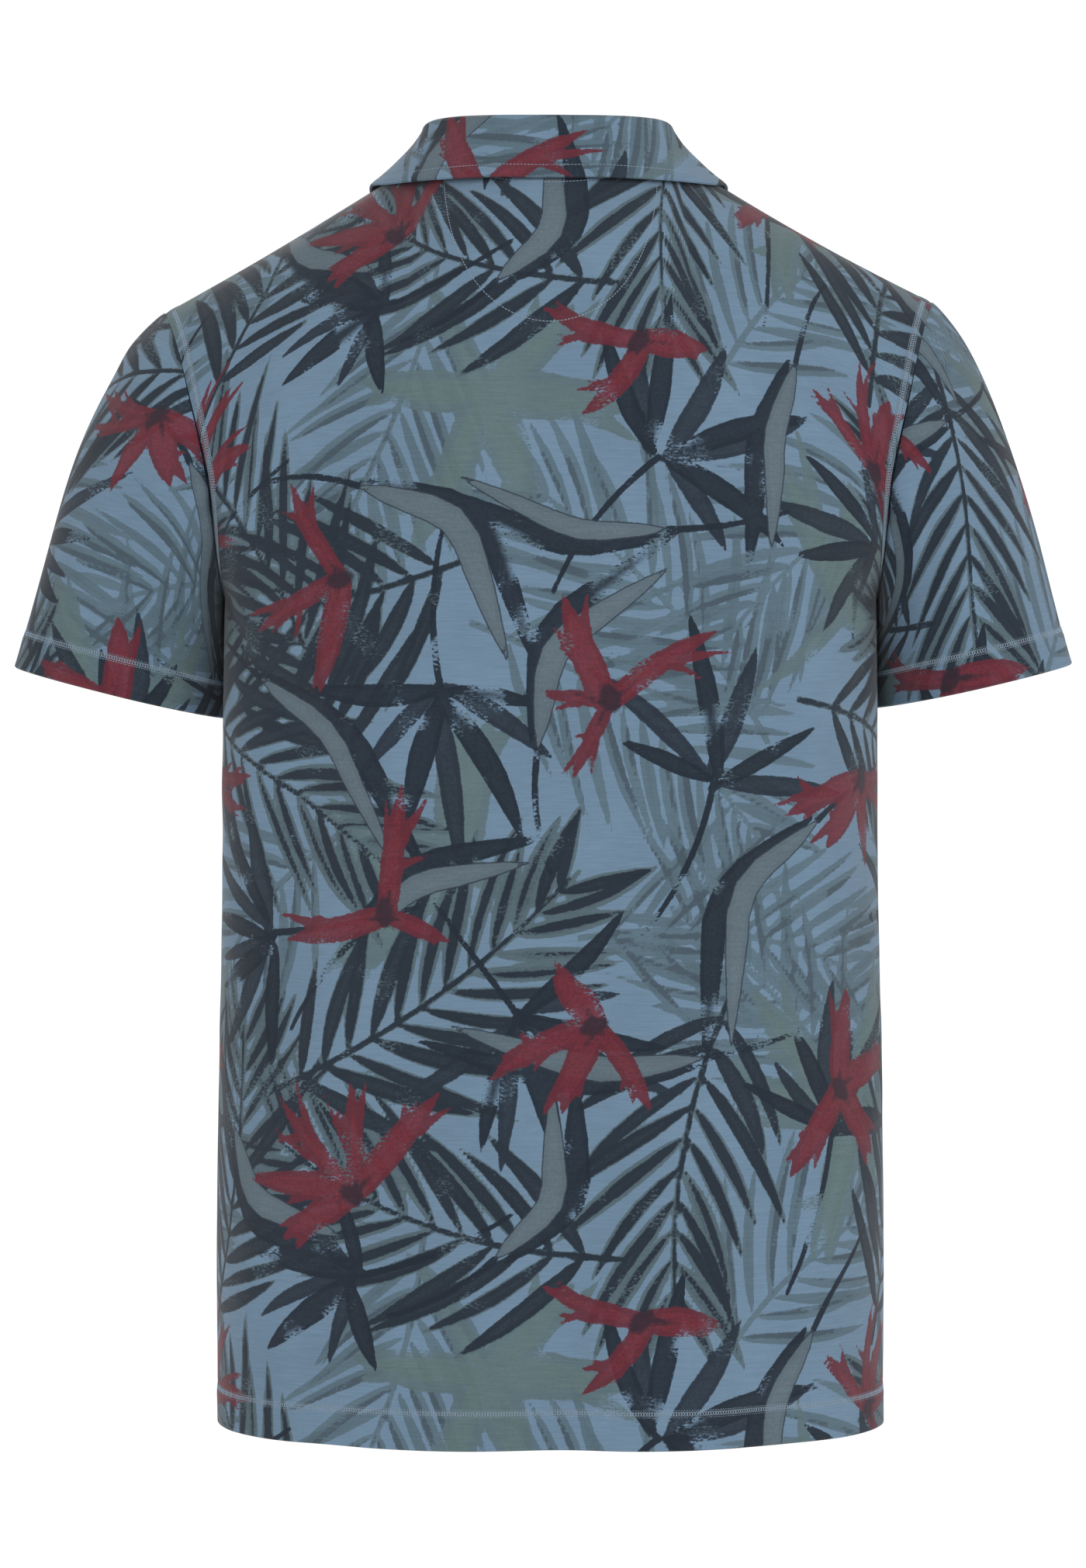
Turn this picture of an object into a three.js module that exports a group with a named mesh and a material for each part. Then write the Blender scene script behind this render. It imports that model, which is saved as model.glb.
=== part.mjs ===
// A short-sleeved jersey polo shirt in its worn, hollow form.
// Millimetres, +Z up. The front faces -Y and the wearer's left arm is on +X. The origin lies at the
// middle of the neck, level with the points where the shoulder seams meet the neckline.
import * as THREE from 'three';

// ---- Cloth and seams --------------------------------------------------------------------------
const WALL = 1.2; // jersey, as a wall
const COLLAR_WALL = 1.6; // two layers pressed together
const SEAM_GAP = 0.3; // between the pieces at a seam
const LAY_GAP = 0.6; // between a piece and the panel that it lies on

// ---- Heights ----------------------------------------------------------------------------------
const HEM_Z = -717;
const UNDERARM_Z = -248;

// ---- Neck and shoulders -----------------------------------------------------------------------
const NECK_HALF = 72; // half the neck's width, at the shoulder seams
// Middle of the neckline behind and in front, and how late its height drops on the way there.
const BACK_NECK = { y: 68, z: -13, bend: 2 };
const FRONT_NECK = { y: -84, z: -78, bend: 2.1 };
const NECK_SHARE = 0.3; // part of a panel's half width that ends in the neckline

// The two sides of the shirt hang a little differently. Columns: which side of X it is on, the
// shoulder tip, the middle of the sleeve's hem, and that hem's reach outwards and its tilt.
const SIDES = [
  { name: 'left', sign: 1, tipX: 219, tipZ: -88, hemX: 246.4, hemZ: -302, reach: 56.4, rise: 15 },
  { name: 'right', sign: -1, tipX: 217, tipZ: -83, hemX: 244.6, hemZ: -298, reach: 53.6, rise: 13 },
];

// ---- Body: a row for each section from the hem up to the underarm ------------------------------
// Columns: height, half breadth, depth behind and in front of the side seams.
const BODY_ROWS = [
  { z: HEM_Z, half: 190, back: 117, front: 121 },
  { z: -610, half: 190.5, back: 118, front: 122 },
  { z: -500, half: 188.5, back: 118, front: 122 },
  { z: -400, half: 186.5, back: 120, front: 124 },
  { z: -320, half: 186, back: 121, front: 126 },
  { z: UNDERARM_Z, half: 185, back: 121, front: 126 },
];
const ROUNDNESS = 2.3; // exponent of the body's oval section

// Armhole seams from the underarm to the shoulder tip. Columns: share of the seam's length, and the
// place as breadth, depth and height; the last row is the shoulder tip itself.
const BACK_ARMHOLE = [
  { share: 0, x: 185, y: 0, z: UNDERARM_Z },
  { share: 0.21, x: 186.5, y: 42, z: -225 },
  { share: 0.41, x: 190.5, y: 61, z: -184 },
  { share: 0.66, x: 201.5, y: 54, z: -137 },
  { share: 0.83, x: 209.5, y: 37, z: -108 },
  { share: 0.93, x: 215, y: 19, z: -94.5 },
  { share: 1, x: 219, y: 0, z: -88 },
];
const FRONT_ARMHOLE = [
  { share: 0, x: 185, y: 0, z: UNDERARM_Z },
  { share: 0.23, x: 184, y: -46, z: -226 },
  { share: 0.44, x: 186, y: -66, z: -184 },
  { share: 0.68, x: 197, y: -57, z: -139 },
  { share: 0.84, x: 207, y: -39, z: -109 },
  { share: 0.93, x: 214, y: -20, z: -95 },
  { share: 1, x: 219, y: 0, z: -88 },
];

// Soft hollows that run down the cloth to the hem. Columns: panel (1 back, -1 front), place across,
// half width, depth at the hem, height at which it starts, and how far it leans outwards.
const HOLLOWS = [
  { panel: 1, x: -2, width: 30, depth: 6, top: -380, lean: 0 },
  { panel: 1, x: 112, width: 26, depth: 4, top: -470, lean: 10 },
  { panel: 1, x: -118, width: 24, depth: 3.5, top: -500, lean: -8 },
  { panel: -1, x: 8, width: 34, depth: 5, top: -400, lean: 4 },
  { panel: -1, x: 104, width: 26, depth: 4, top: -480, lean: 12 },
  { panel: -1, x: -110, width: 28, depth: 4.5, top: -450, lean: -10 },
];

// ---- Yoke: how strongly the panels round over from the underarm to the seams at the top ----------
const RISE_PULL = 240;
const SEAM_PULL = 250;
const NECK_LEAN = 0.5; // backwards lean of the cloth below the middle of the neckline

// ---- Placket ----------------------------------------------------------------------------------
const SLIT_HALF = 12;
const SLIT_SHARE = 0.045; // part of the front's half width taken by half the slit
const BAND_HALF = 15;
const BAND_FOOT = 0.97; // how far up the panel the bands start; the slit starts at the underarm
const BAND_TOP = 1.985; // where they stop, just below the collar's seam
const BUTTON_HEIGHTS = [-100, -157, -214];
const BUTTON = { radius: 5.75, thick: 2.4, rim: 0.7, hollow: 0.6, lift: 0.9, sides: 16 };

// ---- Half-moon patch inside the back of the neck ------------------------------------------------
// Its reach from the middle in columns of the back and down from the neckline in steps of the yoke,
// the exponent of its outline, its wall and gap, and its own mesh.
const MOON = { columns: 4.6, drop: 3.15, roundness: 2.5, wall: 1, gap: 1, rows: 8, across: 10 };

// ---- Sleeves ----------------------------------------------------------------------------------
const SLEEVE_HALF_DEPTH = 52;
const SLEEVE_HEM_Y = -3;
const SLEEVE_START = { top: [0.8, 0, -0.6], back: [0.62, 0.22, -0.75], under: [0.06, 0, -1] };
const SLEEVE_END = { top: [0.316, 0, -0.949], under: [0.06, 0, -1] };
const SLEEVE_LEAVE = 0.6; // the sleeve's start, along itself from the armhole
const SLEEVE_CLEAR = 0.45; // and outwards from the body, away from the shoulder tip

// ---- Collar -----------------------------------------------------------------------------------
// Half the collar, from the centre back round to the centre front. Columns: share of the way, the
// fold's place, the lower edge's place, and how far the fall flares out below the fold.
const COLLAR_ROWS = [
  { share: 0, fold: [0, 64, 20.5], edge: [0, 77, -14], flare: 1 },
  { share: 0.12, fold: [29, 58.5, 20.7], edge: [37, 72, -14.5], flare: 1 },
  { share: 0.24, fold: [53, 42, 20], edge: [70, 55, -15], flare: 2 },
  { share: 0.36, fold: [66.5, 19, 19], edge: [93, 27, -15], flare: 3.5 },
  { share: 0.45, fold: [69.5, -2, 16.5], edge: [103, -3, -14.5], flare: 4 },
  { share: 0.6, fold: [64, -32, 4], edge: [101, -43, -27], flare: 1.5 },
  { share: 0.75, fold: [48, -62, -15], edge: [87, -77, -57], flare: -1 },
  { share: 0.9, fold: [22, -82, -38], edge: [62, -104, -92], flare: -2.5 },
  { share: 1, fold: [3, -89, -50], edge: [46, -115, -115], flare: -3 },
];
const COLLAR_LIFT = 0.45; // of the stand above the neckline
const FOLD_RADIUS = 3.6;
const COLLAR_END_X = 2; // the two ends of the collar stand this far from the middle

// ---- Mesh density -----------------------------------------------------------------------------
const NECK_COLUMNS = 4; // of a panel's half, from the slit's edge to the end of the neckline
const SHOULDER_COLUMNS = 8; // from there to the side seam
const BODY_STEPS = 12;
const YOKE_STEPS = 10;
const SLEEVE_STEPS = 8;
const COLLAR_SPLIT = 2; // stations of the collar for each column of the neckline

// ---- Colours ----------------------------------------------------------------------------------
const JERSEY = { color: 0x6c8299, roughness: 0.9, metalness: 0 };
const PLASTIC = { color: 0x3c4f66, roughness: 0.4, metalness: 0 };

const vec = (x, y, z) => new THREE.Vector3(x, y, z);

/** Value of one named column at a place along a table, passing smoothly through its rows. */
function lookUp(table, key, column, at) {
  const last = table.length - 1;
  const rising = table[last][key] > table[0][key];
  let i = 0;
  while (i < last - 1 && (rising ? at > table[i + 1][key] : at < table[i + 1][key])) {
    i += 1;
  }
  const slope = (a, b) => (table[b][column] - table[a][column]) / (table[b][key] - table[a][key]);
  const span = table[i + 1][key] - table[i][key];
  const s = THREE.MathUtils.clamp((at - table[i][key]) / span, 0, 1);
  const m0 = i > 0 ? slope(i - 1, i + 1) : slope(i, i + 1);
  const m1 = i + 1 < last ? slope(i, i + 2) : slope(i, i + 1);
  const [h00, h10, h01, h11] = hermiteWeights(s);
  return h00 * table[i][column] + h10 * span * m0 + h01 * table[i + 1][column] + h11 * span * m1;
}

/** The four cubic weights: start, pull at the start, end, pull at the end. */
function hermiteWeights(s) {
  return [
    (1 + 2 * s) * (1 - s) ** 2,
    s * (1 - s) ** 2,
    s * s * (3 - 2 * s),
    s * s * (s - 1),
  ];
}

/** Point on a cubic that leaves `start` along `pull0` and arrives at `end` along `pull1`. */
function hermite(start, pull0, end, pull1, s) {
  const [h00, h10, h01, h11] = hermiteWeights(s);
  return vec(0, 0, 0)
    .addScaledVector(start, h00)
    .addScaledVector(pull0, h10)
    .addScaledVector(end, h01)
    .addScaledVector(pull1, h11);
}

/** The shoulder tip on one side of X, in the seam plane. */
function shoulderTip(sign) {
  const side = SIDES.find((row) => row.sign === sign);
  return vec(sign * side.tipX, 0, side.tipZ);
}

/** Neckline from the middle (share 0) to the shoulder seam (share 1); panel is 1 back, -1 front. */
function neckPoint(panel, sign, share) {
  const middle = panel > 0 ? BACK_NECK : FRONT_NECK;
  const angle = (share * Math.PI) / 2;
  const drop = middle.z * Math.cos(angle) ** middle.bend;
  return vec(sign * NECK_HALF * Math.sin(angle), middle.y * Math.cos(angle), drop);
}

/** Top edge of a panel's half: the neckline, then the shoulder seam. */
function topPoint(panel, sign, t) {
  if (t <= NECK_SHARE) {
    return neckPoint(panel, sign, t / NECK_SHARE);
  }
  const along = (t - NECK_SHARE) / (1 - NECK_SHARE);
  return vec(sign * NECK_HALF, 0, 0).lerp(shoulderTip(sign), along);
}

/** Oval section of the body at a height, from the middle of the panel (t 0) to the seam (t 1). */
function bodyPoint(panel, sign, t, z) {
  const half = lookUp(BODY_ROWS, 'z', 'half', z);
  const depth = lookUp(BODY_ROWS, 'z', panel > 0 ? 'back' : 'front', z);
  const angle = (t * Math.PI) / 2;
  const x = sign * half * Math.sin(angle) ** (2 / ROUNDNESS);
  const y = panel * depth * Math.max(Math.cos(angle), 0) ** (2 / ROUNDNESS);
  return vec(x, y, z);
}

/** Armhole seam on one side; the table is for the left, and the tip's difference fades downwards. */
function armholePoint(panel, sign, share) {
  const table = panel > 0 ? BACK_ARMHOLE : FRONT_ARMHOLE;
  const [x, y, z] = ['x', 'y', 'z'].map((column) => lookUp(table, 'share', column, share));
  const tip = shoulderTip(sign);
  const last = table[table.length - 1];
  const fade = share ** 2;
  return vec(sign * (x + (Math.abs(tip.x) - last.x) * fade), y, z + (tip.z - last.z) * fade);
}

/** Panel between the underarm and the seams at its top, rounded over by cubics. */
function yokePoint(panel, sign, t, s) {
  const towardSeam = vec(0, -panel, 0);
  const towardNeck = vec(0, -panel * NECK_LEAN, Math.sqrt(1 - NECK_LEAN ** 2));
  const turn = Math.min(t / NECK_SHARE, 1) ** 1.5;
  const pull1 = towardNeck.lerp(towardSeam, turn).multiplyScalar(SEAM_PULL);
  const pull0 = vec(0, 0, RISE_PULL);
  const cubic = (at) => hermite(
    bodyPoint(panel, sign, at, UNDERARM_Z), pull0, topPoint(panel, sign, at), pull1, s);
  const edgePull = towardSeam.clone().multiplyScalar(SEAM_PULL);
  const edge = hermite(
    bodyPoint(panel, sign, 1, UNDERARM_Z), pull0, topPoint(panel, sign, 1), edgePull, s);
  const correction = armholePoint(panel, sign, s).sub(edge);
  return cubic(t).addScaledVector(correction, t * t);
}

/** Depth of the soft hollows at a place on a panel. */
function hollowDepth(panel, x, z) {
  let depth = 0;
  for (const fold of HOLLOWS.filter((row) => row.panel === panel && z < row.top)) {
    const run = (fold.top - z) / (fold.top - HEM_Z);
    const across = (x - fold.x - fold.lean * run) / fold.width;
    depth += fold.depth * run ** 1.3 * Math.exp(-across * across);
  }
  return depth;
}

/** A panel's outer face. `across` runs from -1 to 1, `up` from 0 at the hem by 1 to 2 at the top. */
function panelPoint(panel, across, up) {
  const sign = across < 0 ? -1 : 1;
  const t = Math.abs(across);
  const z = THREE.MathUtils.lerp(HEM_Z, UNDERARM_Z, Math.min(up, 1));
  const point = up <= 1 ? bodyPoint(panel, sign, t, z) : yokePoint(panel, sign, t, up - 1);
  point.y -= panel * hollowDepth(panel, point.x, point.z);
  if (t <= SLIT_SHARE * 1.5) {
    point.x = (across / SLIT_SHARE) * SLIT_HALF;
  }
  if (Math.abs(point.y) < SEAM_GAP / 2) {
    point.y = (panel * SEAM_GAP) / 2;
  }
  return point;
}

/** Unit normals of a grid's points, on the side that `facing` (1 or -1) chooses. */
function gridNormals(rows, facing, wraps) {
  const count = rows[0].length;
  const at = (r, c) => rows[r][wraps ? (c + count) % count : Math.min(Math.max(c, 0), count - 1)];
  return rows.map((row, r) => row.map((_, c) => {
    const up = at(Math.min(r + 1, rows.length - 1), c).clone().sub(at(Math.max(r - 1, 0), c));
    const across = at(r, c + 1).clone().sub(at(r, c - 1));
    return across.cross(up).multiplyScalar(facing).normalize();
  }));
}

/**
 * A closed wall of cloth on a grid of points, with straight edges all round.
 * `outer` and `inner` are grids of the same shape. `wraps` joins the last column to the first, and
 * `keep` leaves out the cells where it is false.
 */
function wallGeometry(outer, inner, { facing, wraps = false, keep = () => true }) {
  const columns = outer[0].length;
  const cells = wraps ? columns : columns - 1;
  const positions = [];
  const quad = (a, b, c, d) => {
    for (const point of [a, b, c, a, c, d]) {
      positions.push(point.x, point.y, point.z);
    }
  };
  const kept = (r, c) => {
    const column = wraps ? (c + columns) % columns : c;
    const inside = r >= 0 && r < outer.length - 1 && column >= 0 && column < cells;
    return inside && keep(r, column);
  };
  const corner = (grid, r, c) => grid[r][c % columns];
  for (let r = 0; r < outer.length - 1; r += 1) {
    for (let c = 0; c < cells; c += 1) {
      if (!kept(r, c)) {
        continue;
      }
      const ring = [[r, c], [r, c + 1], [r + 1, c + 1], [r + 1, c]];
      const neighbours = [[r - 1, c], [r, c + 1], [r + 1, c], [r, c - 1]];
      const order = facing > 0 ? ring : [...ring].reverse();
      const sides = facing > 0 ? neighbours : [2, 1, 0, 3].map((i) => neighbours[i]);
      const over = order.map(([row, column]) => corner(outer, row, column));
      const under = order.map(([row, column]) => corner(inner, row, column));
      quad(...over);
      quad(under[0], under[3], under[2], under[1]);
      sides.forEach(([row, column], i) => {
        if (!kept(row, column)) {
          const next = (i + 1) % 4;
          quad(over[next], over[i], under[i], under[next]);
        }
      });
    }
  }
  const geometry = new THREE.BufferGeometry();
  geometry.setAttribute('position', new THREE.Float32BufferAttribute(positions, 3));
  geometry.computeVertexNormals();
  return geometry;
}

/** Grid moved along its normals by a distance. */
function moved(rows, normals, distance) {
  return rows.map((row, r) => row.map((p, c) => p.clone().addScaledVector(normals[r][c], distance)));
}

/** A named mesh with a material of its own. */
function piece(name, geometry, finish) {
  const mesh = new THREE.Mesh(geometry, new THREE.MeshStandardMaterial(finish));
  mesh.name = name;
  return mesh;
}

/** Even steps from one number to another, both included. */
function steps(from, to, count) {
  return Array.from({ length: count + 1 }, (_, i) => from + ((to - from) * i) / count);
}

/** Places across half a panel from its middle to the seam, one where the neckline ends. */
function halfColumns() {
  const neck = steps(SLIT_SHARE, NECK_SHARE, NECK_COLUMNS);
  const shoulder = steps(NECK_SHARE, 1, SHOULDER_COLUMNS);
  return [0, ...neck, ...shoulder.slice(1)];
}

/** Steps up a panel: 0 at the hem, 1 at the underarm, 2 at the top. */
const PANEL_STEPS = [...steps(0, 1, BODY_STEPS), ...steps(1, 2, YOKE_STEPS).slice(1)];

/** A panel's grid and its normals; at the seams the normals stay in the seam plane. */
function panelGrid(panel) {
  const half = halfColumns();
  const columns = [...half.slice(1).map((t) => -t).reverse(), ...half];
  const rows = PANEL_STEPS.map((up) => columns.map((across) => panelPoint(panel, across, up)));
  const normals = gridNormals(rows, -panel, false);
  rows.forEach((row, r) => row.forEach((point, c) => {
    if (Math.abs(point.y) <= SEAM_GAP / 2 + 1e-6) {
      normals[r][c].setY(0).normalize();
    }
  }));
  return { columns, rows, normals };
}

/** Back or front panel. The front has a slit down its middle for the placket. */
function panelPiece(name, panel) {
  const { columns, rows, normals } = panelGrid(panel);
  const middle = columns.indexOf(0);
  const keep = (r, c) => panel > 0 || r < BODY_STEPS || (c !== middle && c !== middle - 1);
  const geometry = wallGeometry(rows, moved(rows, normals, -WALL), { facing: -panel, keep });
  return piece(name, geometry, JERSEY);
}

/** The armhole as a closed ring: down the back from the shoulder tip, then up the front. */
function armholeRing(sign) {
  const ring = [];
  for (let i = YOKE_STEPS; i >= 0; i -= 1) {
    ring.push(armholePoint(1, sign, i / YOKE_STEPS));
  }
  for (let i = 1; i < YOKE_STEPS; i += 1) {
    ring.push(armholePoint(-1, sign, i / YOKE_STEPS));
  }
  return ring;
}

/** Direction mixed from the ones at the top, back (or front) and underarm of the sleeve. */
function sleeveDirection(angle, sign, { top, back, under }) {
  const over = Math.max(Math.cos(angle), 0) ** 2;
  const below = Math.max(-Math.cos(angle), 0) ** 2;
  const beside = Math.sin(angle) ** 2;
  const side = back ?? top.map((value, i) => (value + under[i]) / 2);
  const mix = [0, 1, 2].map((i) => top[i] * over + side[i] * beside + under[i] * below);
  return vec(sign * mix[0], mix[1] * Math.sign(Math.sin(angle)), mix[2]).normalize();
}

/** One set-in sleeve, from the armhole to its open hem. */
function sleevePiece({ name, sign, hemX, hemZ, reach, rise }) {
  const ring = armholeRing(sign);
  const rows = [];
  for (let j = 0; j <= SLEEVE_STEPS; j += 1) {
    const s = j / SLEEVE_STEPS;
    rows.push(ring.map((seam, i) => {
      const angle = (2 * Math.PI * i) / ring.length;
      const outwards = Math.cos(angle);
      const hem = vec(
        sign * (hemX + reach * outwards),
        SLEEVE_HEM_Y + SLEEVE_HALF_DEPTH * Math.sin(angle),
        hemZ + rise * outwards);
      const leave = sleeveDirection(angle, sign, SLEEVE_START);
      const arrive = sleeveDirection(angle, sign, SLEEVE_END);
      const start = seam.clone().addScaledVector(leave, SLEEVE_LEAVE);
      start.x += sign * SLEEVE_CLEAR * (1 - Math.max(outwards, 0));
      const chord = start.distanceTo(hem);
      return hermite(
        start, leave.multiplyScalar(chord * 0.8), hem, arrive.multiplyScalar(chord * 0.7), s);
    }));
  }
  const facing = -sign;
  const normals = gridNormals(rows, facing, true);
  const geometry = wallGeometry(rows, moved(rows, normals, -WALL), { facing, wraps: true });
  return piece(`sleeve_${name}`, geometry, JERSEY);
}

/** Stations round half the neckline, from the centre back to the centre front, on its flats. */
function neckStations(sign) {
  const shares = halfColumns().filter((t) => t <= NECK_SHARE);
  const back = shares.map((t) => panelPoint(1, sign * t, 2));
  const front = shares.map((t) => panelPoint(-1, sign * t, 2)).reverse();
  back[back.length - 1].setY(0);
  front[front.length - 1].setX(sign * COLLAR_END_X);
  const corners = [...back, ...front.slice(1)];
  const stations = [corners[0]];
  for (let i = 1; i < corners.length; i += 1) {
    for (let k = 1; k <= COLLAR_SPLIT; k += 1) {
      stations.push(corners[i - 1].clone().lerp(corners[i], k / COLLAR_SPLIT));
    }
  }
  return stations;
}

/** A point read from three columns of the collar's table. */
function collarPoint(column, sign, share) {
  const table = COLLAR_ROWS.map((row) => ({ share: row.share, ...vec(...row[column]) }));
  const [x, y, z] = ['x', 'y', 'z'].map((axis) => lookUp(table, 'share', axis, share));
  return vec(sign * x, y, z);
}

/** Half of the collar's section: up the stand, over the fold and down the fall to its edge. */
function collarPath(station, sign, share) {
  const seam = station.clone();
  seam.z += COLLAR_LIFT;
  const fold = collarPoint('fold', sign, share);
  const edge = collarPoint('edge', sign, share);
  const flare = lookUp(COLLAR_ROWS, 'share', 'flare', share);
  const rise = fold.clone().sub(seam).normalize();
  const fall = edge.clone().sub(fold);
  const out = fall.clone().addScaledVector(rise, -fall.dot(rise)).normalize();
  const nearFold = (outwards, down) => fold.clone()
    .addScaledVector(out, outwards * FOLD_RADIUS)
    .addScaledVector(rise, -down * FOLD_RADIUS);
  const foldEnd = nearFold(1, 1);
  const onFall = (along) => foldEnd.clone()
    .lerp(edge, along)
    .addScaledVector(out, -flare * Math.sin(Math.PI * along));
  return [
    seam,
    seam.clone().lerp(nearFold(-1, 1), 0.5),
    nearFold(-1, 1),
    nearFold(-0.7, 0.3),
    fold,
    nearFold(0.7, 0.3),
    foldEnd,
    onFall(0.33),
    onFall(0.67),
    edge,
  ];
}

/** The turned-down collar, stand and fall in one piece, open at the centre front. */
function collarPiece() {
  const half = (sign) => {
    const stations = neckStations(sign);
    return stations.map((at, i) => collarPath(at, sign, i / (stations.length - 1)));
  };
  const paths = [...half(-1).slice(1).reverse(), ...half(1)];
  const rows = paths[0].map((_, r) => paths.map((path) => path[r]));
  const normals = gridNormals(rows, 1, false);
  const geometry = wallGeometry(rows, moved(rows, normals, -COLLAR_WALL), { facing: 1 });
  return piece('collar', geometry, JERSEY);
}

/** A placket band made from the front's points, its near face `lift` outwards of the front's. */
function bandPiece(name, lift) {
  const half = (SLIT_SHARE * BAND_HALF) / SLIT_HALF;
  const inner = PANEL_STEPS.filter((up) => up > BAND_FOOT && up < BAND_TOP);
  const rows = [BAND_FOOT, ...inner, BAND_TOP].map(
    (up) => [-half, 0, half].map((across) => panelPoint(-1, across, up)));
  const normals = gridNormals(rows, 1, false);
  const far = moved(rows, normals, lift + WALL);
  const near = moved(rows, normals, lift);
  return piece(name, wallGeometry(far, near, { facing: 1 }), JERSEY);
}

/** Point at a fractional row and column of the back's wall, on the flats that it is made of. */
function onBackFlats(rows, r, c) {
  const [r0, c0] = [Math.floor(r), Math.floor(c)];
  const [up, across] = [r - r0, c - c0];
  const [right, above] = [rows[r0][c0 + 1], rows[r0 + 1][c0]];
  const nearCorner = up + across <= 1;
  const base = nearCorner ? rows[r0][c0] : rows[r0 + 1][c0 + 1];
  const toRight = nearCorner ? across : 1 - up;
  const toAbove = nearCorner ? up : 1 - across;
  return base.clone()
    .addScaledVector(right.clone().sub(base), toRight)
    .addScaledVector(above.clone().sub(base), toAbove);
}

/** The half-moon patch, made from the back's flats and moved inside it. */
function moonPiece() {
  const back = panelGrid(1);
  const inside = moved(back.rows, back.normals, -WALL);
  const middle = back.columns.indexOf(0);
  const top = back.rows.length - 1;
  const rows = [];
  for (let j = MOON.rows; j >= 0; j -= 1) {
    const drop = Math.sin((Math.PI / 2) * (0.01 + (0.96 * j) / MOON.rows));
    const half = (1 - drop ** MOON.roundness) ** (1 / MOON.roundness) * MOON.columns;
    rows.push(steps(-half, half, MOON.across).map(
      (c) => onBackFlats(inside, top - MOON.drop * drop, middle + c)));
  }
  const normals = gridNormals(rows, -1, false);
  const near = moved(rows, normals, -MOON.gap);
  const far = moved(rows, normals, -(MOON.gap + MOON.wall));
  return piece('half_moon', wallGeometry(near, far, { facing: -1 }), JERSEY);
}

/** A flat round button with a raised rim, turned about its own axis. */
function buttonGeometry() {
  const { radius, thick, rim, hollow, sides } = BUTTON;
  const profile = [
    [0, 0], [radius - 0.6, 0], [radius, 0.6], [radius, thick - 0.5], [radius - 0.5, thick],
    [radius - rim - 0.5, thick], [radius - rim - 1, thick - hollow], [0, thick - hollow],
  ];
  return new THREE.LatheGeometry(profile.map(([x, y]) => new THREE.Vector2(x, y)), sides);
}

/** A button on the upper band at a height, its axis along the front's normal there. */
function buttonPiece(name, height) {
  let up = 2;
  while (panelPoint(-1, 0, up).z > height) {
    up -= 0.001;
  }
  const here = panelPoint(-1, 0, up);
  const slope = panelPoint(-1, 0, up + 0.02).sub(panelPoint(-1, 0, up - 0.02));
  const normal = vec(1, 0, 0).cross(slope).normalize();
  const mesh = piece(name, buttonGeometry(), PLASTIC);
  mesh.position.copy(here.addScaledVector(normal, LAY_GAP + WALL + BUTTON.lift));
  mesh.quaternion.setFromUnitVectors(vec(0, 1, 0), normal);
  return mesh;
}

const shirt = new THREE.Group();
shirt.add(panelPiece('back', 1));
shirt.add(panelPiece('front', -1));
for (const side of SIDES) {
  shirt.add(sleevePiece(side));
}
shirt.add(collarPiece());
shirt.add(bandPiece('placket_upper', LAY_GAP));
shirt.add(bandPiece('placket_under', -(2 * WALL + LAY_GAP + 0.2)));
BUTTON_HEIGHTS.forEach((height, i) => shirt.add(buttonPiece(`button_${i + 1}`, height)));
shirt.add(moonPiece());

export default shirt;
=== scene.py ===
"""A short-sleeved polo shirt of printed jersey, worn and hollow, in a plain studio.

Shapes are worked out in millimetres in the shirt's own frame (front on -Y, +Z up, wearer's left on
+X) and put into the meshes in metres.
"""
from __future__ import annotations

import logging
import math
from dataclasses import dataclass, field
from enum import Enum
from typing import Callable, Sequence

import bpy
import numpy as np
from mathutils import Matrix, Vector


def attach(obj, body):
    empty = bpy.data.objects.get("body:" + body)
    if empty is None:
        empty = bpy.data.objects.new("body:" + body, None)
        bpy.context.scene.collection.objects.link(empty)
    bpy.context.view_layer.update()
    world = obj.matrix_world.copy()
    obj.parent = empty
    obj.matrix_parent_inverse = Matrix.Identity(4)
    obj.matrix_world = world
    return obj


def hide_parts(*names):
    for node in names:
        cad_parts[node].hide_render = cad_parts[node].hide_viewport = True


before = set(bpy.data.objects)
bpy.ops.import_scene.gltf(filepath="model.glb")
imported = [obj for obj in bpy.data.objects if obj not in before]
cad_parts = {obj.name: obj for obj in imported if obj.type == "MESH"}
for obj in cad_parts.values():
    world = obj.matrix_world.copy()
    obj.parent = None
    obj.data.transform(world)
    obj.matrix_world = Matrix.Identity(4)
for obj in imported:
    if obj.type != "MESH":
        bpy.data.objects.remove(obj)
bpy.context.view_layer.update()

log = logging.getLogger("polo")
MM = 0.001
GOLDEN_TURN = 2.39996  # radians; steps of it spread headings evenly
Array = np.ndarray
Pair = tuple[float, float]
Object = bpy.types.Object


# ---- Small tools ----
def unit(vectors: Array) -> Array:
    """Scales vectors to length one.

    Args:
        vectors: array whose last axis is x, y, z.

    Returns:
        The same directions at unit length.
    """
    return vectors / np.maximum(np.linalg.norm(vectors, axis=-1, keepdims=True), 1e-9)


def fade(low: float, high: float, at: Array) -> Array:
    """Smooth step: 0 below low, 1 above high, and 3s^2 - 2s^3 between, s being the share of the way."""
    s = np.clip((at - low) / (high - low), 0, 1)
    return s * s * (3 - 2 * s)


def cubic_weights(s: Array) -> tuple[Array, Array, Array, Array]:
    """The four cubic weights at s: start, pull at the start, end, pull at the end."""
    return (1 + 2 * s) * (1 - s) ** 2, s * (1 - s) ** 2, s * s * (3 - 2 * s), s * s * (s - 1)


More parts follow.
